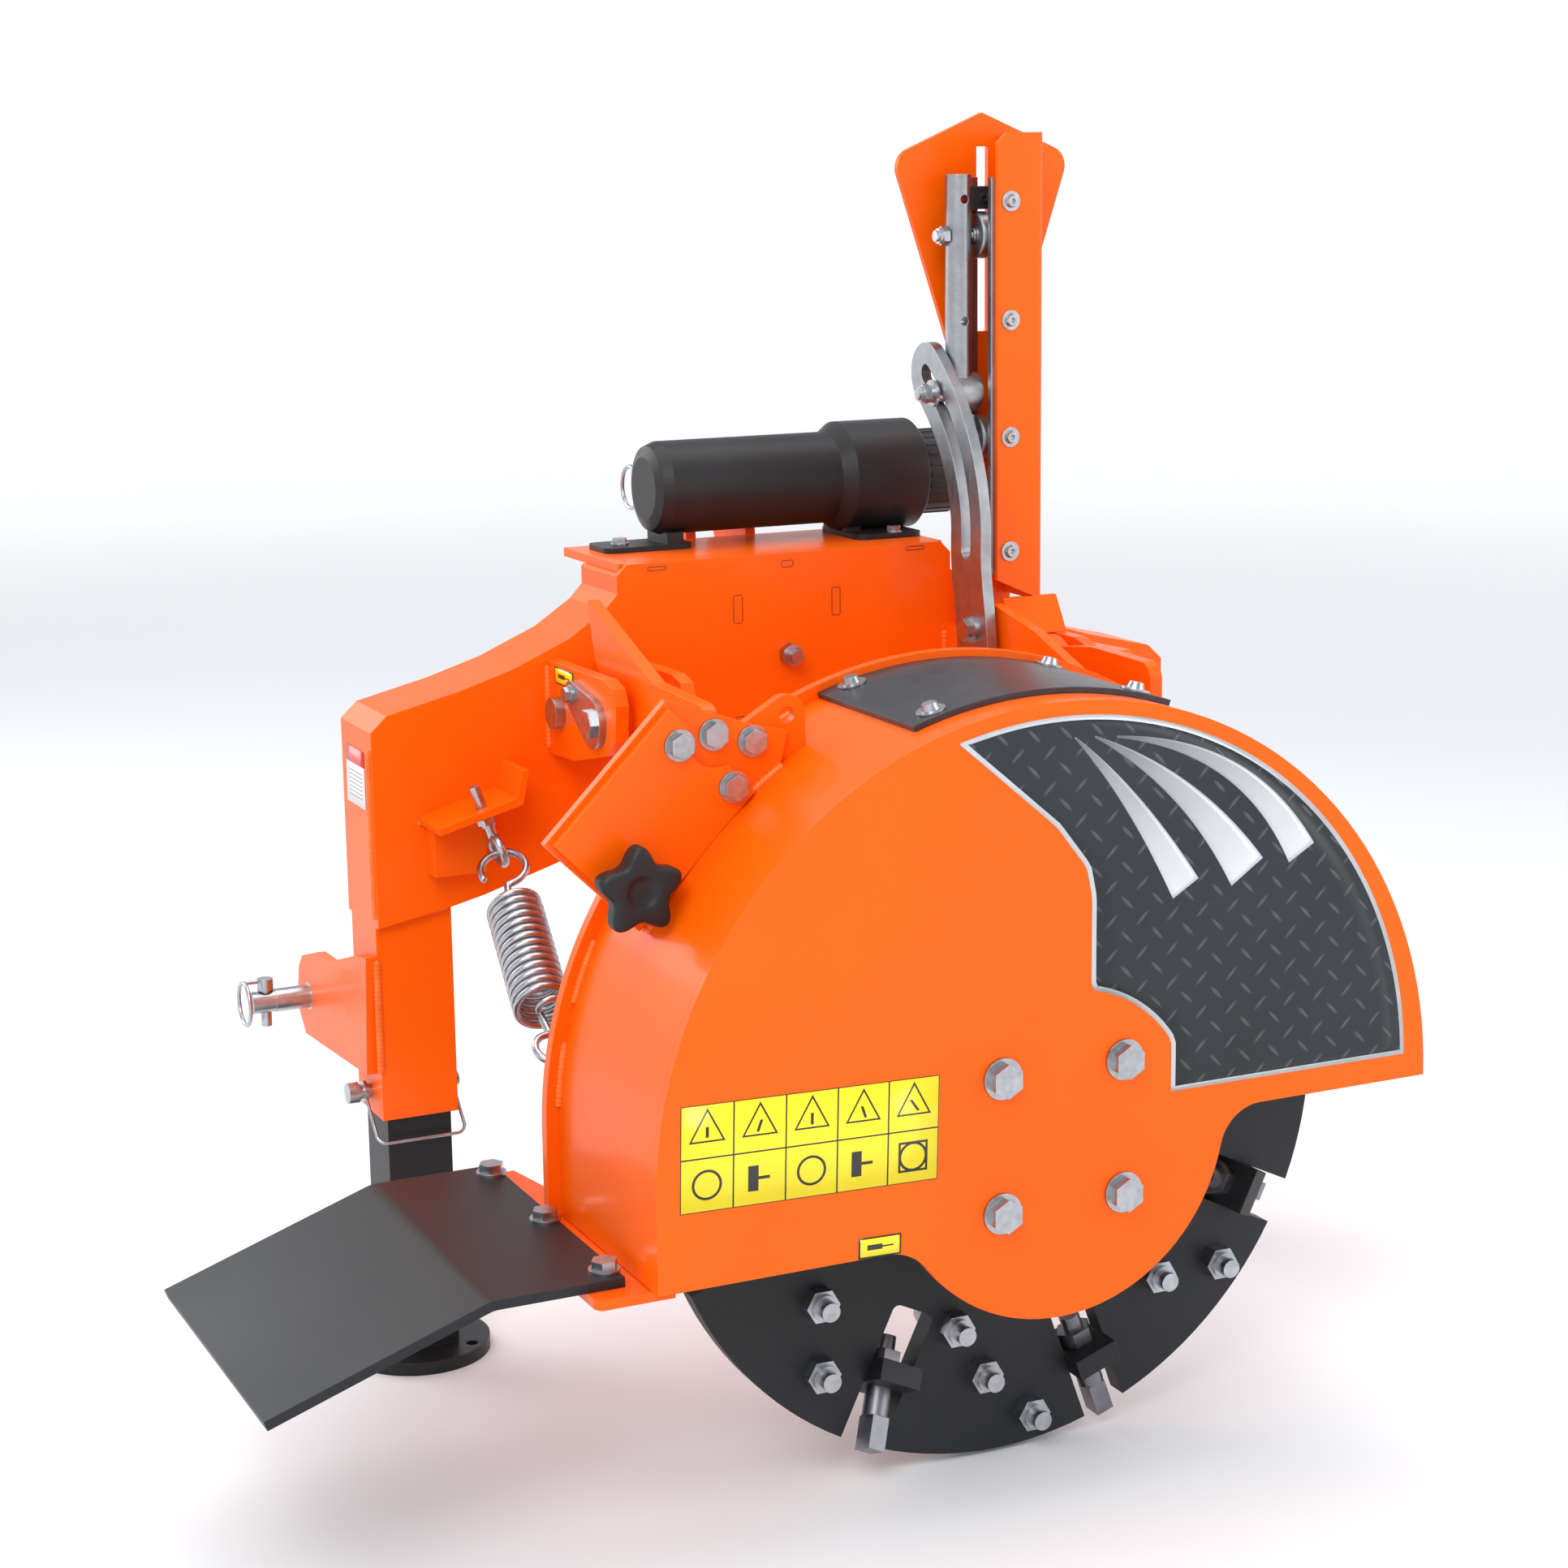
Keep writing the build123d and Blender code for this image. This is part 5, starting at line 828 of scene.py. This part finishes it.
class GRINDER_OT_knob(bpy.types.Operator):
    """Star knob with soft lobes, a rounded rim and a dished face"""
    bl_idname = "grinder.knob"
    bl_label = "Knob"

    def execute(self, context):
        sizes = context.scene.grinder_knob
        front, back = KNOB[0].y + KNOB_INSET, KNOB[1].y
        centre_x, radius = (KNOB[0].x + KNOB[1].x) / 2, (KNOB[1].x - KNOB[0].x) / 2
        centre_z = KNOB[1].z - KNOB_REACH
        turn = np.linspace(0, 2 * np.pi, 180, endpoint=False)[None, :]
        wave = (0.5 + 0.5 * np.cos(sizes.lobes * (turn - np.pi / 2))) ** 1.3
        rim = sizes.waist + (radius - KNOB_SHRINK - sizes.waist) * wave
        quarter = np.linspace(0, np.pi / 2, 8)
        rise, fall = np.sin(quarter), 1 - np.cos(quarter)
        front_rim = np.stack([rise * KNOB_ROUND + (1 - KNOB_ROUND), fall * sizes.edge], 1)
        back_rim = np.stack([1 - fall * KNOB_ROUND, KNOB_HEAD - sizes.edge + rise * sizes.edge], 1)
        behind = np.array(KNOB_BACK) + (0, KNOB_HEAD)
        profile = np.vstack([KNOB_DISH, front_rim, back_rim, behind])
        share, depth = profile[:, :1], profile[:, 1:]
        round_share = np.clip((share - KNOB_ROUND_PART) / KNOB_BLEND, 0, 1)
        reach = share * (round_share * rim + (1 - round_share) * radius)
        grid = np.stack([centre_x + reach * np.cos(turn), front + depth + 0 * turn,
                         centre_z + reach * np.sin(turn)], -1)
        grid[..., 1] = np.minimum(grid[..., 1], back)
        knob = new_piece("soft_star_knob", [grid], "knob", finish_for("black_plastic"))
        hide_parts("star_knob")
        return {"FINISHED"}


class GRINDER_OT_welds(bpy.types.Operator):
    """Rippled beads where the plates of the head and the frame meet"""
    bl_idname = "grinder.welds"
    bl_label = "Welds"

    def execute(self, context):
        sizes = context.scene.grinder_weld
        paint = weld_metal(context.scene.grinder_paint)
        seam = REAR_PLATE[0].y - sizes.bead * BEAD_SUNK
        out = GUARD_R + GUARD_WELD_OUT
        head_paths = [arc((0, 0), out, first, first + GUARD_WELD_ARC, seam) for first in GUARD_WELDS]
        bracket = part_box("bracket_plate")
        for y in (bracket[0].y - BRACKET_WELD_OUT, bracket[1].y + BRACKET_WELD_OUT):
            head_paths.append(arc((0, 0), GUARD_R + BRACKET_WELD_OUT, *BRACKET_WELD, y))
        frame_paths = []
        ear_low = EARS[0].z + EAR_WELD_LOW
        for edge in EAR_WELDS:
            for x in (-edge, edge):
                frame_paths.append(straight((x, FRAME_FACE, ear_low), (x, FRAME_FACE, EAR_WELD_TOP)))
        frame_paths.append(straight((SHELF[0].x, FRAME_FACE, SHELF_WELD_Z[0]),
                                    (SHELF[1].x - SHELF_WELD_END, FRAME_FACE, SHELF_WELD_Z[1])))
        hitch_y, sleeve_y = HITCH[0].y, SLEEVE[0].y
        for side in (-1, 1):
            outside, inside = side * FRAME_END, side * SLEEVE_WELD_IN
            frame_paths.append(straight((outside, hitch_y, HITCH[0].z + HITCH_WELD_LOW),
                                        (outside, hitch_y, HITCH_WELD_TOP)))
            frame_paths.append(straight((outside, sleeve_y, SLEEVE_WELD_Z[0]),
                                        (inside, sleeve_y, SLEEVE_WELD_Z[1])))
            frame_paths.append(straight((outside, sleeve_y, SLEEVE_SIDE_Z[0]),
                                        (outside, sleeve_y, SLEEVE_SIDE_Z[1])))
        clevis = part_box("toplink_clevis")
        clevis_y = clevis[0].y
        for x in (clevis[0].x, -CLEVIS_INSIDE, CLEVIS_INSIDE, clevis[1].x):
            frame_paths.append(straight((x, clevis_y, CLEVIS_WELD_Z[0]), (x, clevis_y, CLEVIS_WELD_Z[1])))
        for name, body, paths in (("head_welds", "head", head_paths), ("frame_welds", "frame", frame_paths)):
            grids = [tube(path, rounded_ends(path, sizes.bead, sizes.ripple), BEAD_SIDES) for path in paths]
            new_piece(name, grids, body, paint)
        return {"FINISHED"}


def sticker(name, grid, body, material, chart=None):
    """Thin film lying on its plate."""
    film = bpy.context.scene.grinder_sticker.film
    return new_piece(name, [grid], body, material, wrap=(False, False), chart=chart, thick=film)


def unit_chart(rows, columns, wide=1.0, high=1.0):
    """Map of a sheet: 0 to wide along its columns, 0 to high up its rows."""
    u, v = np.meshgrid(np.linspace(0, wide, columns), np.linspace(0, high, rows))
    return np.stack([u, v], -1)


class GRINDER_OT_stickers(bpy.types.Operator):
    """Tread-plate panel with silver stripes, pictogram sheet and small labels"""
    bl_idname = "grinder.stickers"
    bl_label = "Stickers"

    def execute(self, context):
        sizes = context.scene.grinder_sticker
        face = GUARD_FACE - sizes.lift
        count = 60
        outer_angle = np.radians(np.linspace(*PANEL_ARC, count))
        outer_r = PANEL_R - PANEL_DROP * (1 - np.sin(np.clip(outer_angle, 0, np.pi / 2))) ** 1.5
        outer = np.stack([outer_r * np.cos(outer_angle), outer_r * np.sin(outer_angle)], 1)
        hub_angle = np.radians(np.linspace(*PANEL_HUB_ARC, 12))
        hub = PANEL_HUB_R * np.stack([np.cos(hub_angle), np.sin(hub_angle)], 1)
        inner = resample([outer[0], *PANEL_STEP, *hub, *PANEL_FOOT], count)
        outline = np.vstack([outer, inner[::-1]])
        small = inset(outline, sizes.border)
        silver = front_sheet(ruled(outer, inner), face)
        dark = front_sheet(ruled(small[:count], small[count:][::-1]), face - sizes.film * 1.6)
        sticker("panel_border", silver, "head", silver_print())
        sticker("tread_plate_panel", dark, "head", tread_panel())
        stripe = sweep_print()
        share = np.linspace(0, 1, 40)[:, None]
        for number, (start, middle, end, width) in enumerate(STRIPES):
            start, middle, end = (np.array(p, float) for p in (start, middle, end))
            bend = 2 * middle - (start + end) / 2
            line = (1 - share) ** 2 * start + 2 * share * (1 - share) * bend + share ** 2 * end
            along = unit(np.gradient(line, axis=0))
            sideways = np.stack([along[:, 1], -along[:, 0]], 1) * (STRIPE_TIP + width * share)
            grid = front_sheet(ruled(line - sideways, line + sideways, 6)[:, ::-1], face - sizes.film * 3.2)
            sticker(f"silver_stripe_{number + 1}", grid, "head", stripe, unit_chart(6, 40)[:, ::-1])
        self.labels(face)
        return {"FINISHED"}

    def labels(self, face):
        """Flat sheets on the guard, set by middle and size, and on the frame, set by their edges."""
        grease = grease_label()
        for name, middle, size, chart, material in (
                ("pictogram_sheet", SIGNS_AT, SIGNS_SIZE, unit_chart(3, 6, 5.0, 2.0), pictogram_sheet()),
                ("grease_label_guard", GREASE_AT, GREASE_SIZE, unit_chart(3, 6), grease)):
            u, v = np.meshgrid(np.linspace(-0.5, 0.5, 6) * size[0], np.linspace(-0.5, 0.5, 3) * size[1])
            c, s = math.cos(math.radians(LABEL_TURN)), math.sin(math.radians(LABEL_TURN))
            flat = np.stack([middle[0] + c * u - s * v, middle[1] + s * u + c * v], -1)
            sticker(name, front_sheet(flat, face)[:, ::-1], "head", material, chart[:, ::-1])
        for name, x, y, z, material in (
                ("grease_label_ear", EARS[0].x - SIDE_GAP, *EAR_LABEL, grease),
                ("notice_label", -FRAME_END - SIDE_GAP, *NOTICE, notice_label())):
            v, u = np.meshgrid(np.linspace(*z, 4), np.linspace(y[1], y[0], 5), indexing="ij")
            side = np.stack([np.full(u.shape, x), u, v], -1)
            sticker(name, side[:, ::-1], "frame", material, unit_chart(4, 5)[:, ::-1])


class GRINDER_OT_slot_lines(bpy.types.Operator):
    """Fine dark outlines where tabs sit in slots of the frame's front plate"""
    bl_idname = "grinder.slot_lines"
    bl_label = "Slot lines"

    def execute(self, context):
        lines = []
        for x, z, wide, high in SLOTS:
            box = [(x - wide / 2, z - high / 2), (x + wide / 2, z - high / 2), (x + wide / 2, z + high / 2),
                   (x - wide / 2, z + high / 2)]
            for (ax, az), (bx, bz) in zip(box, box[1:] + box[:1]):
                lines.append(straight((ax * MM, FRAME_FACE, az * MM), (bx * MM, FRAME_FACE, bz * MM)))
        grids = [tube(line, rounded_ends(line, SLOT_LINE_R), 6) for line in lines]
        new_piece("slot_lines", grids, "frame", cut_line())
        return {"FINISHED"}


class GRINDER_OT_stage(bpy.types.Operator):
    """Camera, soft lights and a plain pale floor"""
    bl_idname = "grinder.stage"
    bl_label = "Stage"

    def execute(self, context):
        stage = context.scene.grinder_stage
        heading, dip, roll = (math.radians(a) for a in stage.turn)
        ahead = Vector((math.sin(heading) * math.cos(dip), math.cos(heading) * math.cos(dip), -math.sin(dip)))
        right = Vector((math.cos(heading), -math.sin(heading), 0))
        above = right.cross(ahead)
        right, above = (math.cos(roll) * right + math.sin(roll) * above,
                        math.cos(roll) * above - math.sin(roll) * right)
        camera = bpy.data.objects.new("camera", bpy.data.cameras.new("camera"))
        camera.data.lens = stage.lens
        camera.data.sensor_width = 36
        turn = Matrix((right, above, -ahead)).transposed().to_4x4()
        camera.matrix_world = Matrix.Translation(Vector(stage.eye)) @ turn
        context.scene.collection.objects.link(camera)
        context.scene.camera = camera
        for name, place, size, power in LAMPS:
            lamp = bpy.data.lights.new(name, "AREA")
            lamp.energy = power
            lamp.size = size
            light = bpy.data.objects.new(name, lamp)
            light.location = place
            light.rotation_mode = "QUATERNION"
            light.rotation_quaternion = (Vector(AIM) - Vector(place)).to_track_quat("-Z", "Y")
            context.scene.collection.objects.link(light)
        world = bpy.data.worlds.new("studio")
        world.use_nodes = True
        world.node_tree.nodes["Background"].inputs[0].default_value = (0.93, 0.95, 1.0, 1)
        world.node_tree.nodes["Background"].inputs[1].default_value = WORLD_STRENGTH
        context.scene.world = world
        context.scene.view_settings.view_transform = "Standard"
        self.floor(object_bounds()[0].z)
        return {"FINISHED"}

    def floor(self, height):
        """Bowl turned about Z: a flat floor with a small open middle, a quarter circle, then a wall."""
        bend = np.radians(np.linspace(0, 90, 16))
        wall = FLOOR_FLAT + FLOOR_BEND
        reach = np.concatenate([[FLOOR_HOLE, 3, 6], FLOOR_FLAT + FLOOR_BEND * np.sin(bend), [wall]])
        rise = np.concatenate([[0, 0, 0], FLOOR_BEND * (1 - np.cos(bend)), [WALL_TOP]])
        reach, rise = reach[:, None], rise[:, None]
        turn = np.linspace(0, 2 * np.pi, 64, endpoint=False)[None, :]
        grid = np.stack([reach * np.cos(turn), reach * np.sin(turn), rise + height + 0 * turn], -1)
        finish = Finish("pale_floor", Specular_IOR_Level=0.2)
        tone = finish.noise(0.8, 2.0)
        finish.feed("Base Color", finish.blend(tone, (0.84, 0.85, 0.86, 1), (0.88, 0.89, 0.90, 1)))
        finish.feed("Roughness", 0.7 + tone * 0.1)
        x, y, _ = finish.axes(finish.place())
        far = ((((x * x + y * y) ** 0.5) - GLOW_START) * (1 / GLOW_REACH)).clamp()
        finish.feed("Emission Color", finish.blend(far, (0, 0, 0, 1), (1, 1, 1, 1)))
        finish.shader.inputs["Emission Strength"].default_value = FLOOR_GLOW
        new_piece("floor", [grid], None, finish.material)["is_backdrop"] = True


class GRINDER_PT_panel(bpy.types.Panel):
    """Lists the grinder's steps and sizes"""
    bl_idname = "GRINDER_PT_panel"
    bl_label = "Stump grinder"
    bl_space_type = "VIEW_3D"
    bl_region_type = "UI"
    bl_category = "Grinder"

    def draw(self, context):
        for step in STEPS:
            self.layout.operator(step.bl_idname)
        for group in GROUPS:
            settings = getattr(context.scene, group)
            for name in GROUPS[group].__annotations__:
                self.layout.prop(settings, name)


GROUPS = {
    "grinder_paint": PaintSettings,
    "grinder_spring": SpringSettings,
    "grinder_knob": KnobSettings,
    "grinder_weld": WeldSettings,
    "grinder_sticker": StickerSettings,
    "grinder_stage": StageSettings,
}
STEPS = (GRINDER_OT_finishes, GRINDER_OT_spring, GRINDER_OT_knob, GRINDER_OT_welds, GRINDER_OT_stickers,
         GRINDER_OT_slot_lines, GRINDER_OT_stage)
CLASSES = (*GROUPS.values(), *STEPS, GRINDER_PT_panel)


def register():
    for item in CLASSES:
        bpy.utils.register_class(item)
    for name, group in GROUPS.items():
        setattr(bpy.types.Scene, name, PointerProperty(type=group))


def unregister():
    for name in GROUPS:
        delattr(bpy.types.Scene, name)
    for item in reversed(CLASSES):
        bpy.utils.unregister_class(item)


def main():
    """Runs every step."""
    register()
    for step in STEPS:
        group, name = step.bl_idname.split(".")
        getattr(getattr(bpy.ops, group), name)()


if __name__ == "__main__":
    main()
